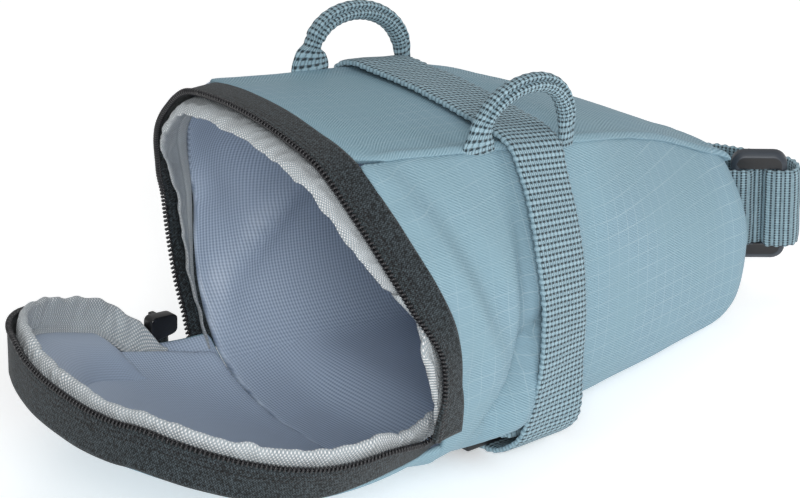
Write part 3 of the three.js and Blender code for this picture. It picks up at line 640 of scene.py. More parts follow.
def hinge_lift(points):
    """How far the underside's near corner is drawn up where the lid's hinge ends."""
    x, y, z = points.T / MM
    share = np.exp(-(((x - HINGE_LIFT["x"]) / HINGE_LIFT["long"]) ** 2))
    share *= smooth_step((HINGE_LIFT["y"] - y) / HINGE_LIFT["wide"])
    share *= smooth_step((HINGE_LIFT["z"] - z) / HINGE_LIFT["tall"])
    return share * HINGE_LIFT["up"] * MM


def ripple(points, scale, out):
    """A slow random swell over the cloth, the same at each run."""
    return np.array([noise.noise(Vector(p) * scale) for p in points]) * out * MM


# %% [markdown]
# ## The body
# One cloth wraps the sides, the underside and the nose. Unwrapped as one piece, its threads would bend like
# those on a cone, so its flat cut is worked out instead. Each side is mapped by the way round the bag and
# the height, and the underside from above. The folds push the sides along Y, and puckers show beside the
# zip. The rim that is seen from inside takes the lining's finish.

# %% Body: its flat cut
BODY_MIDDLE = 36 * MM
WRAP_CENTRE = 46 * MM
WRAP_BAND = 14 * MM  # the way round is measured this far above and below the middle
WRAP_SAG = (-0.177, 0.00068)  # a flat cloth laid round a cone: its threads dip, then rise again
STEP = math.radians(4)
UNDERSIDE = {"level": 0.75, "below": 30 * MM}


def wrap_cut(piece):
    """The body's flat cut in millimetres: each side by the way round the bag and the height."""
    points = points_of(piece)
    turn = np.arctan2(np.abs(points[:, 1]), points[:, 0] - WRAP_CENTRE)
    reach = np.hypot(points[:, 0] - WRAP_CENTRE, points[:, 1])
    level = np.abs(points[:, 2] - BODY_MIDDLE) < WRAP_BAND
    slices = {each: reach[level & (np.abs(turn - each) < STEP)] for each in np.arange(0, math.pi / 2, STEP)}
    turns = np.array([each for each, near in slices.items() if len(near)])
    rim = np.array([near.max() for near in slices.values() if len(near)])
    corners = np.c_[rim * np.cos(turns), rim * np.sin(turns)]
    way = np.r_[0, np.cumsum(np.linalg.norm(np.diff(corners, axis=0), axis=1))]
    way = np.r_[way, way[-1] + (math.pi - turns[-1]) * rim[-1]]
    turns = np.r_[turns, math.pi]
    square = np.interp(math.pi / 2, turns, way) + WRAP_CENTRE - points[:, 0]
    along = np.where(points[:, 0] < WRAP_CENTRE, square, np.interp(turn, turns, way)) / MM
    sag = WRAP_SAG[0] * along + WRAP_SAG[1] * along**2
    layer = piece.data.uv_layers[CUT]
    for face in piece.data.polygons:
        below = abs(face.normal.z) > UNDERSIDE["level"] and face.center.z < UNDERSIDE["below"]
        for loop, vertex in zip(face.loop_indices, face.vertices):
            x, y, z = points[vertex]
            layer.data[loop].uv = (x / MM, y / MM) if below else (-along[vertex], z / MM + sag[vertex])


# %% Body cloth
SIDE_BAND = 14 * MM
PUCKER_BAND = 11 * MM
RIM = {"facing": -0.45, "behind": -55 * MM, "far": 10 * MM, "low": 12 * MM}


def distance_to(node, points):
    """Each point's distance from the nearest corner of a bare piece."""
    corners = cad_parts[node].data.vertices
    spots = kdtree.KDTree(len(corners))
    for vertex in corners:
        spots.insert(vertex.co, vertex.index)
    spots.balance()
    return np.array([spots.find(point)[2] for point in points])


body = cloth_copy("body_wrap", "body_cloth", 0.35, cloth_finish, lining_finish)
lay_out(body, lambda spot: Vector((0.3 * spot.x, spot.y, spot.z - BODY_MIDDLE)))
wrap_cut(body)
subdivide(body)

points = points_of(body)
sides = np.sign(points[:, 1]) * smooth_step(np.abs(points[:, 1]) / SIDE_BAND)
for fold in SIDE_FOLDS:
    on_side = np.where(np.sign(points[:, 1]) == fold["side"], sides, 0)
    points[:, 1] += on_side * fold_height(fold, points[:, 0], points[:, 2])
points[:, 2] += hinge_lift(points)
points[:, 1] += sides * ripple(points, **RIPPLE)
at_zip = np.exp(-((distance_to("body_zip_tape", points) / PUCKER_BAND) ** 2))
points[:, 1] += sides * ripple(points, **PUCKER) * at_zip
move_points(body, points)
for face in body.data.polygons:
    seen_from_inside = face.center.y > RIM["far"] or face.center.z < RIM["low"]
    if seen_from_inside and face.normal.x < RIM["facing"] and face.center.x < RIM["behind"]:
        face.material_index = 1
hand_over(body, "cloth", "body_wrap")

# %% [markdown]
# ## The top panel
# The panel under the saddle is sewn to the wrap along both ridges and at the nose. A real seam is folded
# layers that nobody sees, so the panel's edges are only pushed out until they reach just past the wrap's
# ridge. A low roll along them stands for the turned edge, and the nose end is squared and sunk a little.
# The panel's map is mirrored and turned, because it is cut a little off the grain.

# %% Top panel: where its edges go
SEAM_REACH = {"ridge": 0.7, "nose": 1.6}  # mm past the wrap's ridge and past the bare nose end
NOSE_CORNER = {"out": 2.6, "half": 9.2, "most": 1.1, "over": 4.0, "drop": 0.9}
NOSE_SUNK = {"down": 0.6, "over": 12.0}
EDGE_BAND = 9 * MM
SEAM_ROLL = {-1: 0.6, 1: 0.3}  # mm that the turned edge stands up, on the near and the far side
ROLL = {"in": 1.4, "wide": 1.3}
TURNED = {"nose": 8.0, "ridge": 5.0}  # mm of the edge that is cloth on both faces
TOP_GRAIN = Matrix.Rotation(math.radians(4), 2)
SLICES = np.arange(-88, 46, 2) * MM
SLICE_HALF = 1.6 * MM


def smoothed(values, times):
    """Evens out a row of values between its ends."""
    for _ in range(times):
        values[1:-1] = (values[:-2] + 2 * values[1:-1] + values[2:]) / 4
    return values


def edge_line(points, side, height):
    """The distance from the middle of the point with the greatest height, in slices along one side."""
    found = []
    for x in SLICES:
        near = points[(np.abs(points[:, 0] - x) < SLICE_HALF) & (points[:, 1] * side > 0)]
        found.append(abs(near[np.argmax(height(near)), 1]) if len(near) else np.nan)
    found = np.array(found)
    known = ~np.isnan(found)
    found = smoothed(np.interp(SLICES, SLICES[known], found[known]), 3)
    return lambda x: np.interp(x, SLICES, found)


def square_nose(points, nose_end):
    """Sinks the panel's nose end, and pushes its corners out to square it."""
    to_end = (points[:, 0] - nose_end) / (NOSE_SUNK["over"] * MM)
    points[:, 2] -= NOSE_SUNK["down"] * MM * smooth_step(to_end + 1)
    off_middle = np.abs(points[:, 1]) / (NOSE_CORNER["half"] * MM)
    corner = NOSE_CORNER["out"] * MM * np.minimum(off_middle, NOSE_CORNER["most"]) ** 3
    at_nose = smooth_step((points[:, 0] - nose_end + corner) / (NOSE_CORNER["over"] * MM) + 1)
    points[:, 0] += (SEAM_REACH["nose"] * MM + corner) * at_nose
    points[:, 2] -= NOSE_CORNER["drop"] * corner * at_nose


def reach_ridge(points, side, mouth_end):
    """Pushes one long edge out to the wrap's ridge and rolls it. Tells which points the turned edge has."""
    on_side = points[:, 1] * side > 0
    ridge = edge_line(points_of(body), side, lambda near: near[:, 2])(points[:, 0])
    edge = edge_line(points, side, lambda near: np.abs(near[:, 1]))(points[:, 0])
    past_mouth = smooth_step((points[:, 0] - mouth_end) / EDGE_BAND)
    share = smooth_step((np.abs(points[:, 1]) - edge) / EDGE_BAND + 1) * past_mouth
    points[:, 1] += np.where(on_side, side * share * (ridge - edge + SEAM_REACH["ridge"] * MM), 0)
    inside = ridge + SEAM_REACH["ridge"] * MM - np.abs(points[:, 1])
    rolled = SEAM_ROLL[side] * MM * np.exp(-((inside / MM - ROLL["in"]) / ROLL["wide"]) ** 2)
    points[:, 2] += np.where(on_side, rolled * past_mouth, 0)
    return on_side & (inside < TURNED["ridge"] * MM)


# %% Top panel
top = cloth_copy("top_panel", "top_cloth", 0.3, cloth_finish, lining_finish)
lay_out(top, lambda spot: Vector((0, 0, 1)))
for corner in top.data.uv_layers[CUT].data:
    corner.uv = TOP_GRAIN @ Vector((corner.uv.x, -corner.uv.y))
subdivide(top)
points = points_of(top)
mouth_end, nose_end = points[:, 0].min(), points[:, 0].max()
square_nose(points, nose_end)
turned_edge = points[:, 0] > nose_end - TURNED["nose"] * MM
for side in (-1, 1):
    turned_edge |= reach_ridge(points, side, mouth_end)
points[:, 2] += ripple(points, **RIPPLE)
move_points(top, points)
for face in top.data.polygons:
    if turned_edge[list(face.vertices)].any():
        face.material_index = 0
hand_over(top, "cloth", "top_panel")

# %% [markdown]
# ## The lid
# The lid is a tongue of the same cloth, lined inside. Its inner face takes the lining's finish too, so that
# none of the blue cloth shows where the lining ends under the binding. Both are drawn up at the hinge, and
# the lining swells a little, as loose cloth does.

# %% Lid and its lining
LID_RIPPLE = 70.0


def lid_part(node, name, slot, crease, outer, up, swell):
    """up: which way its outer face looks; swell: how far, in millimetres, it stands up in places."""
    piece = cloth_copy(node, name, crease, outer, lining_finish)
    lay_out(piece, lambda spot: Vector((0, 0, up)))
    subdivide(piece)
    points = points_of(piece)
    points[:, 2] += np.abs(ripple(points, LID_RIPPLE, swell)) + hinge_lift(points)
    move_points(piece, points)
    hand_over(piece, slot, node)
    return piece


lid_part("lid_panel", "lid_cloth", "cloth", 0.35, cloth_finish, -1, 0.0)
lid_inner = lid_part("lid_lining", "lid_inner_cloth", "lining", 0.3, lining_finish, 1, 0.3)

# %% [markdown]
# ## Finding a strip's route
# Straps, tapes and ribbons are cut flat and laid along a route. The bare strips hold that route: walking
# their mesh from one end face gives ring after ring of points, and each ring gives a middle point and the
# direction across the strip. The direction off its face follows from those two.

# %% Read routes from the frame
END_FACE = 0.3  # radians that a strip's end face may bend
LEAST_RINGS, RINGS_ALIKE = 5, 0.85


def stations(node):
    """The rings of points along a bare strip, from one end face to the other."""
    mesh = bmesh.new()
    mesh.from_mesh(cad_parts[node].data)
    bmesh.ops.remove_doubles(mesh, verts=mesh.verts, dist=MM / 100)
    mesh.verts.ensure_lookup_table()
    mesh.verts.index_update()

    def spread(start):
        rings, seen = [set(start)], set(start)
        while rings[-1]:
            ring = {edge.other_vert(vert) for vert in rings[-1] for edge in vert.link_edges} - seen
            seen |= ring
            rings.append(ring)
        return rings[:-1]

    tip = min(spread([mesh.verts[0]])[-1], key=lambda vert: vert.index)
    for face in tip.link_faces:
        flat, waiting = {face}, [face]
        while waiting:
            for edge in waiting.pop().edges:
                for other in edge.link_faces:
                    if other not in flat and other.normal.angle(face.normal) < END_FACE:
                        flat.add(other)
                        waiting.append(other)
        rings = spread({vert for each in flat for vert in each.verts})
        alike = sum(len(ring) == len(rings[0]) for ring in rings) / len(rings)
        if len(rings) > LEAST_RINGS and alike > RINGS_ALIKE:
            found = [np.array([vert.co for vert in sorted(ring, key=lambda v: v.index)]) for ring in rings]
            mesh.free()
            return found
    raise ValueError(f"{node} isn't a strip")


def unit(vectors):
    """Rows of vectors at length 1."""
    return vectors / np.linalg.norm(vectors, axis=1, keepdims=True)


def route_of(node, across_to, face_to):
    """A strip's route: its middle, its directions across and off its face, and its half-width, by distance.
    At the route's middle the directions point to across_to and face_to."""
    rings = stations(node)
    middle = np.array([ring.mean(0) for ring in rings])
    across, half = [], []
    for ring, spot in zip(rings, middle):
        axis = np.linalg.svd(ring - spot)[2][0]
        if across and axis @ across[-1] < 0:
            axis = -axis
        across.append(axis)
        half.append(np.ptp((ring - spot) @ axis) / 2)
    across = np.array(across)
    centre = len(rings) // 2
    if across[centre] @ (np.array(across_to(middle[centre])) - middle[centre]) < 0:
        across = -across
    face = unit(np.cross(across, np.gradient(middle, axis=0)))
    if face[centre] @ (np.array(face_to(middle[centre])) - middle[centre]) < 0:
        face = -face
    steps = np.linalg.norm(np.diff(middle, axis=0), axis=1)
    at = np.r_[0, np.cumsum(steps)]
    return {"middle": middle, "across": across, "face": face, "half": np.array(half), "at": at}


def between(values, at, wanted):
    """Values given at distances along a route, on a smooth curve at other distances."""
    values = values.reshape(len(at), -1)
    slope = np.gradient(values, at, axis=0)
    i = np.clip(np.searchsorted(at, wanted) - 1, 0, len(at) - 2)
    span = (at[i + 1] - at[i])[:, None]
    t = (wanted - at[i])[:, None] / span
    blend = 3 * t**2 - 2 * t**3
    curve = (t**3 - 2 * t**2 + t) * slope[i] * span + (t**3 - t**2) * slope[i + 1] * span
    return values[i] * (1 - blend) + values[i + 1] * blend + curve


# %% [markdown]
# ## Cutting a strip and laying it
# A grid is added at the strip's flat size, so its own UV map is the flat cut. Solidify gives it a
# thickness. Then every point is carried to its place on the route: x runs along it, y across it, and z off
# its face.

# %% Cut and lay strips
def flat_strip(name, length, width, along, across, thick, cut=None):
    """cut: the strip's size on its UV map in millimetres, where that isn't its own size."""
    cut = cut or (length / MM, width / MM)
    bpy.ops.mesh.primitive_grid_add(x_subdivisions=along, y_subdivisions=across, size=1)
    piece = bpy.context.active_object
    piece.name = name
    bpy.ops.object.mode_set(mode="EDIT")
    bpy.ops.transform.resize(value=(length, width, 1))
    bpy.ops.transform.translate(value=(length / 2, 0, 0))
    bpy.ops.object.mode_set(mode="OBJECT")
    layer = piece.data.uv_layers.active
    layer.name = CUT
    flat = np.empty(2 * len(layer.data))
    layer.data.foreach_get("uv", flat)
    layer.data.foreach_set("uv", (flat.reshape(-1, 2) * cut).ravel())
    if thick:
        apply_modifier(piece, "SOLIDIFY", thickness=thick, offset=0)
    return piece


def towards(direction):
    """Gives a rule that names a place one metre off in a direction."""
    return lambda spot: spot + np.array(direction)


def lay_along(route, along, across, off):
    """Places on a route, by distances along, across and off its face. Past its ends it runs on straight."""
    inside = np.clip(along, 0, route["at"][-1])
    spot = between(route["middle"], route["at"], inside)
    line = route["middle"]
    start, end = unit(np.array((line[0] - line[1], line[-1] - line[-2])))
    beyond = (along - inside)[:, None]
    spot += np.where(beyond < 0, -beyond * start, beyond * end)
    side = unit(between(route["across"], route["at"], inside))
    face = unit(between(route["face"], route["at"], inside))
    return spot + side * across[:, None] + face * off[:, None]


# %% [markdown]
# ## Webbing
# A strap's woven edge is thinner than its middle and steps out at every row, like a fine chain. That and a
# slow unevenness are in the mesh, and the material adds the beads. On the near ridge the main strap is
# pulled narrower.

# %% Straps
WEBBING_THICK = 1.6
LINK_STEPS, STRAP_STEPS = 8, 24  # grid steps for each link of the edge chain, and across the strap
THIN_EDGE = {"from": 0.8, "by": 0.4}
CHAIN = {"from": 0.9, "out": 0.14, "thick": 0.1}
UNEVEN = {"scale": 160.0, "out": 0.15}
SQUEEZE = {"by": 0.16, "over": 12 * MM}
NEAR_RIDGE = np.array((-33, -33, 70)) * MM


def webbing_strap(name, node, across_to, face_to, columns, row=BEAD_ROW, squeeze=None):
    """columns: beads across the strap; squeeze: a place, in metres, where it is pulled narrower."""
    route = route_of(node, across_to, face_to)
    length = route["at"][-1]
    width = 2 * route["half"].mean()
    links = round(length / MM / row / 2)
    cut = (2 * links * BEAD_ROW, columns * BEAD_COLUMN)
    strap = flat_strip(name, length, width, LINK_STEPS * links, STRAP_STEPS, WEBBING_THICK * MM, cut)
    flat = points_of(strap)
    edge = np.abs(flat[:, 1]) / (width / 2)
    thin = 1 - THIN_EDGE["by"] * np.clip((edge - THIN_EDGE["from"]) / (1 - THIN_EDGE["from"]), 0, 1) ** 2
    chain = np.cos(math.tau * flat[:, 0] / length * links)
    chain *= np.clip((edge - CHAIN["from"]) / (1 - CHAIN["from"]), 0, 1)
    across = flat[:, 1] + CHAIN["out"] * MM * chain * np.sign(flat[:, 1])
    off = flat[:, 2] * (thin + CHAIN["thick"] * chain) + ripple(np.c_[flat[:, :2], 0 * edge], **UNEVEN)
    if squeeze is not None:
        spot = between(route["middle"], route["at"], flat[:, 0])
        across *= 1 - SQUEEZE["by"] * np.exp(-np.sum((spot - squeeze) ** 2, axis=1) / SQUEEZE["over"] ** 2)
    move_points(strap, lay_along(route, flat[:, 0], across, off))
    strap.data.materials.append(webbing_finish)
    hand_over(strap, "webbing", node)
    print("length:", round(length / MM), "mm")


webbing_strap("main_webbing", "main_strap", towards((1, 0, 0)), towards((0, 0, 1)), 12, squeeze=NEAR_RIDGE)
webbing_strap("nose_webbing", "nose_strap", towards((0, 0, 1)), towards(back), 30, row=1.05)

# %% [markdown]
# ## Rail loops
# Each loop is the same webbing folded lengthwise and sewn edge to edge, so it is a round cord with a groove
# down one side and flat feet. A bevelled curve would be round all the way, so a grid is rolled round the
# loop's route instead: the bare rings give the width and depth at each place, and the groove is a dip in
# the ring. The feet go down into the panel. The near loop's rear foot fans out, and the far loop's is a
# knob.

# %% Rail loops
LOOP = {"columns": 14, "around": 64, "tighter": 1.15, "chain": 0.06}
GROOVE = {"at": -0.5, "wide": 0.22, "deep": 0.5}
FOOT = {"sink": 2.4, "over": 6 * MM, "flat": 9 * MM}
# outlines of a rear foot: millimetres from its end, and half its width there
FAN = ((0, 2.0, 4.0, 6.5), (5.2, 4.6, 3.3, 2.7))
KNOB = ((0, 1.5, 3.2, 4.8, 6.0, 8.0), (5.2, 5.7, 5.5, 4.2, 2.1, 1.8))
SIDEWAYS = np.array((0.0, 1.0, 0.0))


def close_tube(piece):
    """Joins the long edges of a rolled grid and caps its ends."""
    activate(piece)
    bpy.ops.object.mode_set(mode="EDIT")
    bpy.ops.mesh.select_all(action="SELECT")
    bpy.ops.mesh.remove_doubles(threshold=MM / 50)
    bpy.ops.mesh.fill_holes(sides=0)
    bpy.ops.mesh.select_all(action="SELECT")
    bpy.ops.mesh.normals_make_consistent(inside=False)
    bpy.ops.object.mode_set(mode="OBJECT")


def rail_loop(name, node, move, foot):
    """move: how far, in millimetres, it stands from the bare loop; foot: the outline of its rear foot."""
    rings = stations(node)
    if rings[0][:, 0].mean() > rings[-1][:, 0].mean():
        rings = rings[::-1]
    middle = np.array([ring.mean(0) for ring in rings])
    at = np.r_[0, np.cumsum(np.linalg.norm(np.diff(middle, axis=0), axis=1))]
    deep = np.array([np.ptp(ring[:, 1]) / 2 for ring in rings])
    flat_side = unit(np.cross(SIDEWAYS, unit(np.gradient(middle, axis=0))))
    wide = np.array([np.ptp((ring - spot) @ way) / 2 for ring, spot, way in zip(rings, middle, flat_side)])
    links = round(at[-1] / MM / BEAD_ROW / 2 * LOOP["tighter"])
    cut = (2 * links * BEAD_ROW, LOOP["columns"] * BEAD_COLUMN)
    loop = flat_strip(name, at[-1], 1.0, LINK_STEPS * links, LOOP["around"], 0, cut)
    along, share, _ = points_of(loop).T
    turn = share * math.tau
    from_end = np.minimum(along, at[-1] - along)
    spot = between(middle, at, along) + np.array(move) * MM
    spot[:, 2] -= FOOT["sink"] * MM * smooth_step(1 - from_end / FOOT["over"])
    foot_wide = np.interp(along / MM, *foot) * MM
    half_wide = np.where(along < foot[0][-1] * MM, foot_wide, between(wide, at, along)[:, 0])
    groove = GROOVE["deep"] * np.exp(-((turn - GROOVE["at"]) / GROOVE["wide"]) ** 2)
    dip = 1 - groove * smooth_step(from_end / FOOT["flat"])
    chain = LOOP["chain"] * MM * np.cos(math.tau * along / at[-1] * links)
    ring_x = np.sin(turn) * (half_wide * dip + chain)
    ring_y = np.cos(turn) * (between(deep, at, along)[:, 0] * dip + chain)
    way = unit(between(flat_side, at, along))
    move_points(loop, spot + way * ring_x[:, None] - SIDEWAYS * ring_y[:, None])
    close_tube(loop)
    loop.data.materials.append(webbing_finish)
    hand_over(loop, "webbing", node)


rail_loop("near_rail_webbing", "rail_loop_near", (-0.6, 0, 0), FAN)
rail_loop("far_rail_webbing", "rail_loop_far", (-2.0, 0, -0.5), KNOB)

# %% [markdown]
# ## Zip tapes
# Each half of the zip is a tape that is sewn under the cloth's edge at one side and carries the coil at the
# other. It is laid a little wider than the bare strip, so that it goes in under the cloth and meets the
# coil. Both tapes run on past the bare ends, and how far they go under changes there, so that no slit opens
# at the hinge.

# %% Zip tapes
TAPE_THICK = 0.9
TAPE_STEP, TAPE_STEPS = 0.9, 12
TAPE_TO_COIL = 0.5
TAPE_SWELL = {"scale": 130.0, "out": 0.18}
FAR_OVER = 26
# reach: past the bare near and far end; under: below the cloth, and what near and far add to it over an end
TAPES = {
    "body": {"reach": (3.0, 9.0), "under": 0.9, "near": 1.2, "near_over": 26, "near_off": 0.5, "far": 3.6},
    "lid": {"reach": (2.0, 10.0), "under": 2.4, "near": -3.2, "near_over": 55, "near_off": 0.0, "far": 0.0},
}


def nearest_of(node):
    """Gives a rule that names the bare piece's corner nearest to a place."""
    spots = np.array([vertex.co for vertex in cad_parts[node].data.vertices])
    return lambda spot: spots[np.argmin(np.linalg.norm(spots - spot, axis=1))]


def away_from(node):
    """Gives a rule that names a place on the other side from a bare piece."""
    return lambda spot: 2 * spot - nearest_of(node)(spot)


def zip_tape(name, half):
    """Lays one half of the zip, and gives its route with where the tape starts and ends."""
    size = TAPES[half]
    route = route_of(half + "_zip_tape", nearest_of(half + "_zip_coil"), away_from(half + "_binding"))
    near_first = route["middle"][0, 1] < 0
    first, last = size["reach"] if near_first else size["reach"][::-1]
    route["from"], route["to"] = -first * MM, route["at"][-1] + last * MM
    length = route["to"] - route["from"]
    steps = round(length / MM / TAPE_STEP)
    tape = flat_strip(name, length, TAPE_WIDTH * MM, steps, TAPE_STEPS, TAPE_THICK * MM)
    flat = points_of(tape)
    along = flat[:, 0] + route["from"]
    share = flat[:, 1] / (TAPE_WIDTH * MM) + 0.5
    to_near = along - route["from"] if near_first else route["to"] - along
    near_share = smooth_step(1 - to_near / MM / size["near_over"])
    far_share = smooth_step(1 - (length - to_near) / MM / FAR_OVER)
    half_width = between(route["half"], route["at"], np.clip(along, 0, route["at"][-1]))[:, 0]
    if half == "body":
        half_width = np.maximum(half_width, near_share * route["half"].max())
    under = (size["under"] + size["near"] * near_share + size["far"] * far_share) * MM
    across = -half_width - under + share * (2 * half_width + under + TAPE_TO_COIL * MM)
    swell = ripple(np.c_[along, across, 0 * along], **TAPE_SWELL)
    off = flat[:, 2] + (swell + size["near_off"] * MM * near_share) * (1 - share)
    move_points(tape, lay_along(route, along, across, off))
    tape.data.materials.append(tape_finish)
    hand_over(tape, "zip_tape", half + "_zip_tape")
    return route


body_zip = zip_tape("body_tape", "body")
lid_zip = zip_tape("lid_tape", "lid")

# %% [markdown]
# ## Zip coils
# A coil zip's teeth are the turns of one nylon thread, wound flat. A curve winds along the tape's edge with
# a turn for each tooth: straight across on top, and on to the next tooth underneath. A curve takes a round
# bevel at once, which a mesh would need a sweep for. It is then made a mesh.

# %% Zip coils
COIL = {"pitch": 1.05, "reach": 0.5, "tall": 0.5, "thread": 0.33, "off": 0.85, "turn": 12}


def zip_coil(name, half, route):
    """Winds one half's coil along the edge of its tape."""
    length = route["to"] - route["from"]
    turns = round(length / MM / COIL["pitch"])
    turn = np.linspace(0, turns, turns * COIL["turn"])
    angle = turn * math.tau
    slant = np.floor(turn) + smooth_step(2 * (turn % 1) - 1)
    along = route["from"] + slant / turns * length
    half_width = between(route["half"], route["at"], np.clip(along, 0, route["at"][-1]))[:, 0]
    across = half_width + (COIL["off"] + COIL["reach"] * np.cos(angle)) * MM
    line = lay_along(route, along, across, COIL["tall"] * MM * np.sin(angle))
    thread = bpy.data.curves.new(name, "CURVE")
    thread.dimensions = "3D"
    thread.bevel_depth = COIL["thread"] * MM
    thread.bevel_resolution = 1
    thread.use_fill_caps = True
    spline = thread.splines.new("POLY")
    spline.points.add(len(line) - 1)
    spline.points.foreach_set("co", np.c_[line, np.ones(len(line))].ravel())
    coil = bpy.data.objects.new(name, thread)
    bpy.context.scene.collection.objects.link(coil)
    activate(coil)
    bpy.ops.object.convert(target="MESH")
    coil = bpy.context.active_object
    coil.data.materials.clear()
    coil.data.materials.append(coil_finish)
    hand_over(coil, "zip_coil", half + "_zip_coil")


zip_coil("body_coil", "body", body_zip)
zip_coil("lid_coil", "lid", lid_zip)

# %% [markdown]
# ## Binding
# The ribbon is folded over the seam's raw edge, so it is thick and round at its free edge. A line of
# stitches pinches it, and below that its foot spreads onto the lining. Noise along it gives the puckers. It
# runs on past the bare strip, at both ends on the lid and at the far end on the body, to where the two
# halves of the zip meet.

# %% Binding
BINDING = {"thick": 1.3, "ribs": 0.04, "rib_steps": 3, "steps": 20}
RIBBON_PUCKER = {"scale": 260.0, "out": 1.2}
RIBBON_WANDER = {"scale": 190.0, "out": 0.6}
PUCKER_LEAN = 0.35
STITCH = {"wide": 0.05, "deep": 0.75}
FREE_EDGE = {"roll": 0.6, "blunt": 0.84, "least": 0.02}
FAR_FALL = {"down": 7.0, "before": 13 * MM, "over": 17 * MM}
FAR_TAPER = {"by": 0.5, "over": 7 * MM}
NEAR_END = {"over": 6 * MM, "sink": 0.2, "lean": 0.1}
LEAST_HALF = {"near": 0.36, "far": 0.5}  # of the lid ribbon's full width


def far_fall(along, end):
    """How far the lid's edge falls towards its far end, where the zip's tape stands above it."""
    return FAR_FALL["down"] * MM * smooth_step((along - end + FAR_FALL["before"]) / FAR_FALL["over"])


def binding(name, half, wider, lean, foot, stitch, reach):
    """wider: added to the free edge; lean: how far that edge leans inwards; foot: how far the base spreads
    inwards; stitch: where the stitch line runs, as a share of the width; reach: added at near and far end."""
    node = half + "_binding"
    tape = nearest_of(half + "_zip_tape")
    coil = nearest_of(half + "_zip_coil")
    route = route_of(node, lambda spot: 2 * coil(spot) - tape(spot), tape)
    if route["middle"][0, 1] > 0:
        route["at"] = route["at"][-1] - route["at"]
        route = {key: values[::-1] for key, values in route.items()}
    end = route["at"][-1]
    length = end + sum(reach) * MM
    width = 2 * route["half"].max()
    steps = round(length / MM / RIB * BINDING["rib_steps"])
    strip = flat_strip(name, length, width, steps, BINDING["steps"], BINDING["thick"] * MM)
    flat = points_of(strip)
    share = flat[:, 1] / width + 0.5
    along = flat[:, 0] - reach[0] * MM
    half_width = between(route["half"], route["at"], np.clip(along, 0, end))[:, 0]
    base = -half_width
    if half == "lid":
        least = np.where(along > end / 2, LEAST_HALF["far"], LEAST_HALF["near"])
        half_width = np.maximum(half_width, least * width)
        base -= far_fall(along, end)
    still = 0 * share
    pucker = ripple(np.c_[flat[:, 0], PUCKER_LEAN * flat[:, 1], still], **RIBBON_PUCKER)
    wander = ripple(np.c_[flat[:, 0], still, still], **RIBBON_WANDER)
    past = np.maximum(NEAR_END["over"] - along, 0) if reach[0] else 0
    taper = 1 - FAR_TAPER["by"] * smooth_step((along - end) / FAR_TAPER["over"])
    across = base + share * (2 * half_width + wander + wider * MM) * taper - NEAR_END["sink"] * past
    pinch = 1 - STITCH["deep"] * np.exp(-(((share - stitch) / STITCH["wide"]) ** 2))
    roll = 1 + FREE_EDGE["roll"] * smooth_step((share - stitch) / (1 - stitch))
    at_edge = np.clip((share - FREE_EDGE["blunt"]) / (1 - FREE_EDGE["blunt"]), 0, 1)
    blunt = np.sqrt(np.clip(1 - at_edge**2, FREE_EDGE["least"], 1))
    ribs = BINDING["ribs"] * MM * np.abs(np.sin(np.pi * flat[:, 0] / MM / RIB))
    off = flat[:, 2] * pinch * roll * blunt + np.sign(flat[:, 2]) * ribs - np.abs(pucker) * share
    off -= NEAR_END["lean"] * past + lean * MM * share**2
    off -= foot * MM * smooth_step((stitch - share) / stitch) ** 1.5
    move_points(strip, lay_along(route, along, across, off))
    strip.data.materials.append(binding_finish)
    hand_over(strip, "binding", node)
    return route


binding("body_edging", "body", wider=-1.4, lean=2.2, foot=0.0, stitch=0.3, reach=(0.0, 9.0))
lid_route = binding("lid_edging", "lid", wider=-2.8, lean=1.6, foot=1.0, stitch=0.24, reach=(8.0, 7.0))

# %% [markdown]
# ## The lining's border
# The lid is a shallow dish: its lining rises towards the wall behind the zip and is sewn in under the
# binding. A strip follows the binding's route. Each of its cross-sections is a curve from a place on the
# lining, along the floor, and up to the binding's foot.

# %% Raised border of the lining
BORDER = {"wide": 22.0, "thick": 0.5, "step": 1.5, "steps": 16}
BORDER_PATH = {"in": 20.0, "tuck": 0.9, "turn": 8.0, "sunk": 2.0, "off": 1.0, "up": 1.2, "end": 16.0}


def raised_lining():
    """Lays the border, with one curve from the lining to the binding's foot at each place along it."""
    at = lid_route["at"]
    length = at[-1]
    steps = round(length / MM / BORDER["step"])
    wide, thick = BORDER["wide"] * MM, BORDER["thick"] * MM
    strip = flat_strip("lid_border_lining", length, wide, steps, BORDER["steps"], thick)
    flat = points_of(strip)
    size = {name: value * MM for name, value in BORDER_PATH.items()}
    across, face = lid_route["across"], lid_route["face"]
    base = lid_route["middle"] - across * lid_route["half"][:, None]
    inner = points_of(lid_inner)
    wanted = base - face * size["in"]
    start = np.array([inner[np.argmin(np.linalg.norm(inner - spot, axis=1))] for spot in wanted])
    start = smoothed(start, 8)
    start[:, 2] -= size["tuck"]
    base = base - across * far_fall(at, length)[:, None]
    corner = base - face * size["turn"] - across * size["sunk"]
    rise = base - face * size["off"] + across * size["up"]
    t = (flat[:, 1] / wide + 0.5)[:, None]
    first, turn, last = (between(line, at, flat[:, 0]) for line in (start, corner, rise))
    spot = first * (1 - t) ** 2 + turn * 2 * t * (1 - t) + last * t**2
    spot = first + (spot - first) * smooth_step((length - flat[:, 0]) / size["end"])[:, None]
    inwards = -unit(between(face, at, flat[:, 0])) * t + unit(between(across, at, flat[:, 0])) * (1 - t)
    spot += unit(inwards) * (flat[:, 2] + thick / 2)[:, None]
    spot[:, 2] += hinge_lift(spot)
    move_points(strip, spot)
    strip.data.materials.append(lining_finish)
    hand_over(strip, "lining", "lid_lining")


raised_lining()
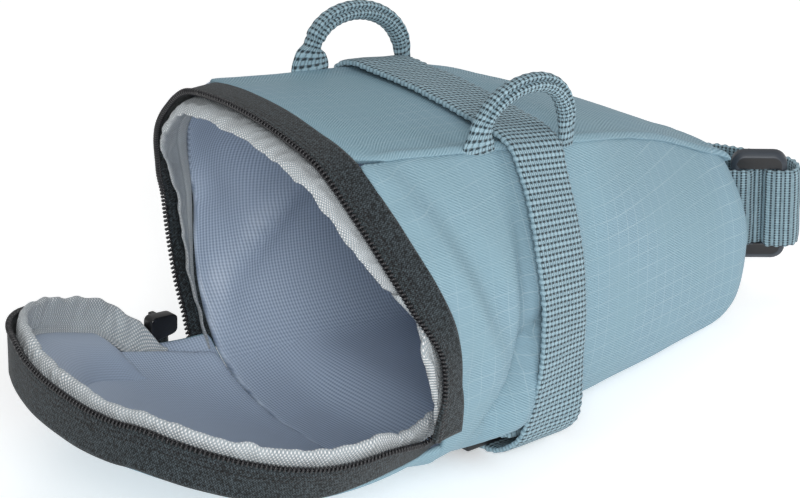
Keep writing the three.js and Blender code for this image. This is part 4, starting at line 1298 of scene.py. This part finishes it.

# %% [markdown]
# ## The slide at the nose
# A three-bar slide keeps the nose strap at its length. It starts as a box round the origin, where its sides
# are easy to name. The corners of its outline are bevelled round, its front face is inset and pulled out to
# a raised panel, and boxes cut two slots and set the middle bar back. A last bevel softens every edge, and
# then it is turned and moved to its place. The middle bar takes the black acetal as painted shade, for the
# strap's shadow on it.

# %% Nose slide
def box_piece(name, low, high):
    """A box between two corners, in metres."""
    bpy.ops.mesh.primitive_cube_add(size=1, location=(Vector(low) + Vector(high)) / 2)
    piece = bpy.context.active_object
    piece.name = name
    piece.dimensions = Vector(high) - Vector(low)
    bpy.ops.object.transform_apply(location=True, rotation=True, scale=True)
    return piece


def select_where(piece, kind, test):
    """Goes into edit mode with the faces or edges that pass a test selected."""
    activate(piece)
    bpy.ops.object.mode_set(mode="EDIT")
    bpy.ops.mesh.select_mode(type=kind)
    bpy.ops.mesh.select_all(action="DESELECT")
    mesh = bmesh.from_edit_mesh(piece.data)
    for item in mesh.faces if kind == "FACE" else mesh.edges:
        item.select_set(bool(test(item)))
    mesh.select_flush_mode()
    bmesh.update_edit_mesh(piece.data)


def cut_with(piece, tool):
    """Takes the shape of a tool out of a piece, and the tool away."""
    apply_modifier(piece, "BOOLEAN", operation="DIFFERENCE", object=tool, solver="EXACT")
    bpy.data.objects.remove(tool)


SHARP = 0.6  # radians between two faces


def round_edges(piece, width):
    """Bevels every sharp edge; width is in millimetres."""
    apply_modifier(piece, "BEVEL", width=width * MM, segments=3, limit_method="ANGLE", angle_limit=SHARP)
    activate(piece)
    bpy.ops.object.shade_smooth_by_angle(angle=math.radians(40))


def runs_through(edge):
    """Whether an edge runs from front to back."""
    return abs((edge.verts[0].co - edge.verts[1].co).normalized().y) > 0.9


SLIDE = {"wide": 13.8, "tall": 28.4, "thick": 2.2, "bar": 2.2, "mid": 1.2, "slot": 20.9, "corner": 3.4}
PANEL = {"in": 1.1, "out": 0.8}
SLOT_ENDS = {"low": 0.4, "high": 0.6}  # mm that a slot is shorter at each end
RECESS = {"wide": 1.8, "back": 0.6}
SLIDE_LIFT = 0.4
SLIDE_TURN = math.radians(-40.7)
THROUGH = 0.01  # a cutting box goes this far, in metres

half_size = Vector((SLIDE["wide"], SLIDE["thick"], SLIDE["tall"])) / 2 * MM
slide = box_piece("slide_moulding", -half_size, half_size)
select_where(slide, "EDGE", runs_through)
bpy.ops.mesh.bevel(offset=SLIDE["corner"] * MM, segments=6)
bpy.ops.object.mode_set(mode="OBJECT")
select_where(slide, "FACE", lambda face: face.normal.y < -0.9)
bpy.ops.mesh.inset(thickness=PANEL["in"] * MM)
bpy.ops.transform.translate(value=(0, -PANEL["out"] * MM, 0))
bpy.ops.object.mode_set(mode="OBJECT")

slot_half = SLIDE["slot"] / 2 * MM
slot_low, slot_high = SLOT_ENDS["low"] * MM - slot_half, slot_half - SLOT_ENDS["high"] * MM
inner, outer = SLIDE["mid"] / 2 * MM, (SLIDE["wide"] / 2 - SLIDE["bar"]) * MM
recess = RECESS["wide"] / 2 * MM
CUTS = [
    {"name": "rear slot", "from": -outer, "to": -inner, "back": THROUGH},
    {"name": "front slot", "from": inner, "to": outer, "back": THROUGH},
    {"name": "recess", "from": -recess, "to": recess, "back": RECESS["back"] * MM},
]
for cut in CUTS:
    tool = box_piece(cut["name"], (cut["from"], -THROUGH, slot_low), (cut["to"], cut["back"], slot_high))
    cut_with(slide, tool)
round_edges(slide, 0.22)
slide.data.materials.append(slide_finish)
slide.data.materials.append(buckle_and_bar_shade_finish)
# painted shade: faces of the middle bar between the slots take the black acetal, for the strap's shadow
for face in slide.data.polygons:
    face.material_index = int(abs(face.center.x) < recess and abs(face.center.z) < slot_half)
low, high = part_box("nose_slide")
slide_place = Matrix.Translation((low + high) / 2 + Vector((0, 0, SLIDE_LIFT * MM)))
slide_place = slide_place @ Matrix.Rotation(SLIDE_TURN, 4, "Z")
slide.data.transform(slide_place)
settle(slide, "slide_plastic", "nose_slide")

# %% [markdown]
# ## The strap over the slide's bar
# The nose strap comes up through one slot, over the middle bar and down through the other. Only that short
# turn shows, so a small strip is bent over the bar in half a wave, and moved with the slide.

# %% Strap over the bar
OVER_BAR = {"wide": 2.5, "tall": 20.2, "thick": 0.8, "from": -1.7, "front": 0.2, "out": 0.7, "down": 0.4}
OVER_BAR_STEPS = (12, 24)
OVER_BAR_CUT = (2 * BEAD_ROW, 30 * BEAD_COLUMN)
length, width, thick = (OVER_BAR[name] * MM for name in ("wide", "tall", "thick"))
over_bar = flat_strip("slide_webbing", length, width, *OVER_BAR_STEPS, thick, OVER_BAR_CUT)
flat = points_of(over_bar) / MM
wave = np.sin(np.pi * np.clip(flat[:, 0] / OVER_BAR["wide"], 0, 1))
depth = -flat[:, 2] - OVER_BAR["front"] - OVER_BAR["out"] * wave
bent = np.c_[flat[:, 0] + OVER_BAR["from"], depth, flat[:, 1] - OVER_BAR["down"]]
move_points(over_bar, bent * MM)
over_bar.data.transform(slide_place)
over_bar.data.materials.append(webbing_finish)
hand_over(over_bar, "webbing", "nose_strap")

# %% [markdown]
# ## The ladder-lock buckle
# The main strap's buckle lies flat under the near side, and only its end shows past the strap. It is the
# same kind of moulding, so it is made the same way: a box, two slots cut by boxes, and a bevel on every
# edge.

# %% Strap buckle
BUCKLE_MOVE = Vector((-2.5, -1.0, 0.2)) * MM  # its end shows past the strap
BUCKLE_BAR, BUCKLE_GAP, BUCKLE_SLOT = 3.0, 5.0, 21.2
low, high = (Vector(corner) + BUCKLE_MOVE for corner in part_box("strap_buckle"))
buckle = box_piece("buckle_moulding", low, high)
slot_tail, slot_nose = ((low.x + high.x) / 2 + side * BUCKLE_SLOT / 2 * MM for side in (-1, 1))
for start in (BUCKLE_BAR, 2 * BUCKLE_BAR + BUCKLE_GAP):
    front = low.y + start * MM
    rear = front + BUCKLE_GAP * MM
    tool = box_piece("slot", (slot_tail, front, low.z - THROUGH), (slot_nose, rear, high.z + THROUGH))
    cut_with(buckle, tool)
round_edges(buckle, 0.7)
buckle.data.materials.append(buckle_and_bar_shade_finish)
settle(buckle, "buckle_plastic", "strap_buckle")

# %% [markdown]
# ## The zip's slider
# The slider is parked at the far end of the zip. Its body is a shield, narrower at one end, with a small
# bridge on its outer face, and a flat pull with a hole for a cord hangs from the bridge. A real one is cast
# and pressed. Here the three are boxes with softened edges, joined to one piece.

# %% Zip slider
PULL = {"wide": 5.0, "long": 13.0, "thick": 1.0, "hole": 2.2, "hole_down": 10.4, "off": 0.5, "up": 1.5}
BRIDGE = {"half": 0.8, "in": 0.3, "wall": 0.4, "below": 1.0}
SLIDER_WAIST = 0.74


def shield(name, low, high, corner):
    """A box with its corners rounded, as seen along Y."""
    piece = box_piece(name, low, high)
    select_where(piece, "EDGE", runs_through)
    bpy.ops.mesh.bevel(offset=corner * MM, segments=4)
    bpy.ops.object.mode_set(mode="OBJECT")
    return piece


low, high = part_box("zip_slider")
middle = (low + high) / 2
slider = shield("slider_body", low, high, 1.5)
points = points_of(slider)
taper = 1 - (1 - SLIDER_WAIST) * (points[:, 0] - low.x) / (high.x - low.x)
points[:, 2] = middle.z + (points[:, 2] - middle.z) * taper
move_points(slider, points)

bridge_half = BRIDGE["half"] * MM
bridge_end = high.y + (2 * PULL["off"] + PULL["thick"] + BRIDGE["wall"]) * MM
bridge_low = (middle.x - bridge_half, high.y - BRIDGE["in"] * MM, middle.z)
bridge_high = (middle.x + bridge_half, bridge_end, high.z - BRIDGE["below"] * MM)
bridge = box_piece("bridge", bridge_low, bridge_high)

pull_half = PULL["wide"] / 2 * MM
pull_face = high.y + PULL["off"] * MM
pull_top = middle.z + PULL["up"] * MM
pull_low = (middle.x - pull_half, pull_face, pull_top - PULL["long"] * MM)
pull_high = (middle.x + pull_half, pull_face + PULL["thick"] * MM, pull_top)
pull = shield("pull", pull_low, pull_high, 1.4)
hole_half = Vector((PULL["hole"] / 2 * MM, THROUGH, PULL["hole"] / 2 * MM))
hole_middle = Vector((middle.x, pull_face, pull_top - PULL["hole_down"] * MM))
cut_with(pull, shield("hole", hole_middle - hole_half, hole_middle + hole_half, PULL["hole"] * 0.4))
activate(slider)
bridge.select_set(True)
pull.select_set(True)
bpy.ops.object.join()
round_edges(slider, 0.3)
slider.data.materials.append(slider_finish)
settle(slider, "zip_slider", "zip_slider")
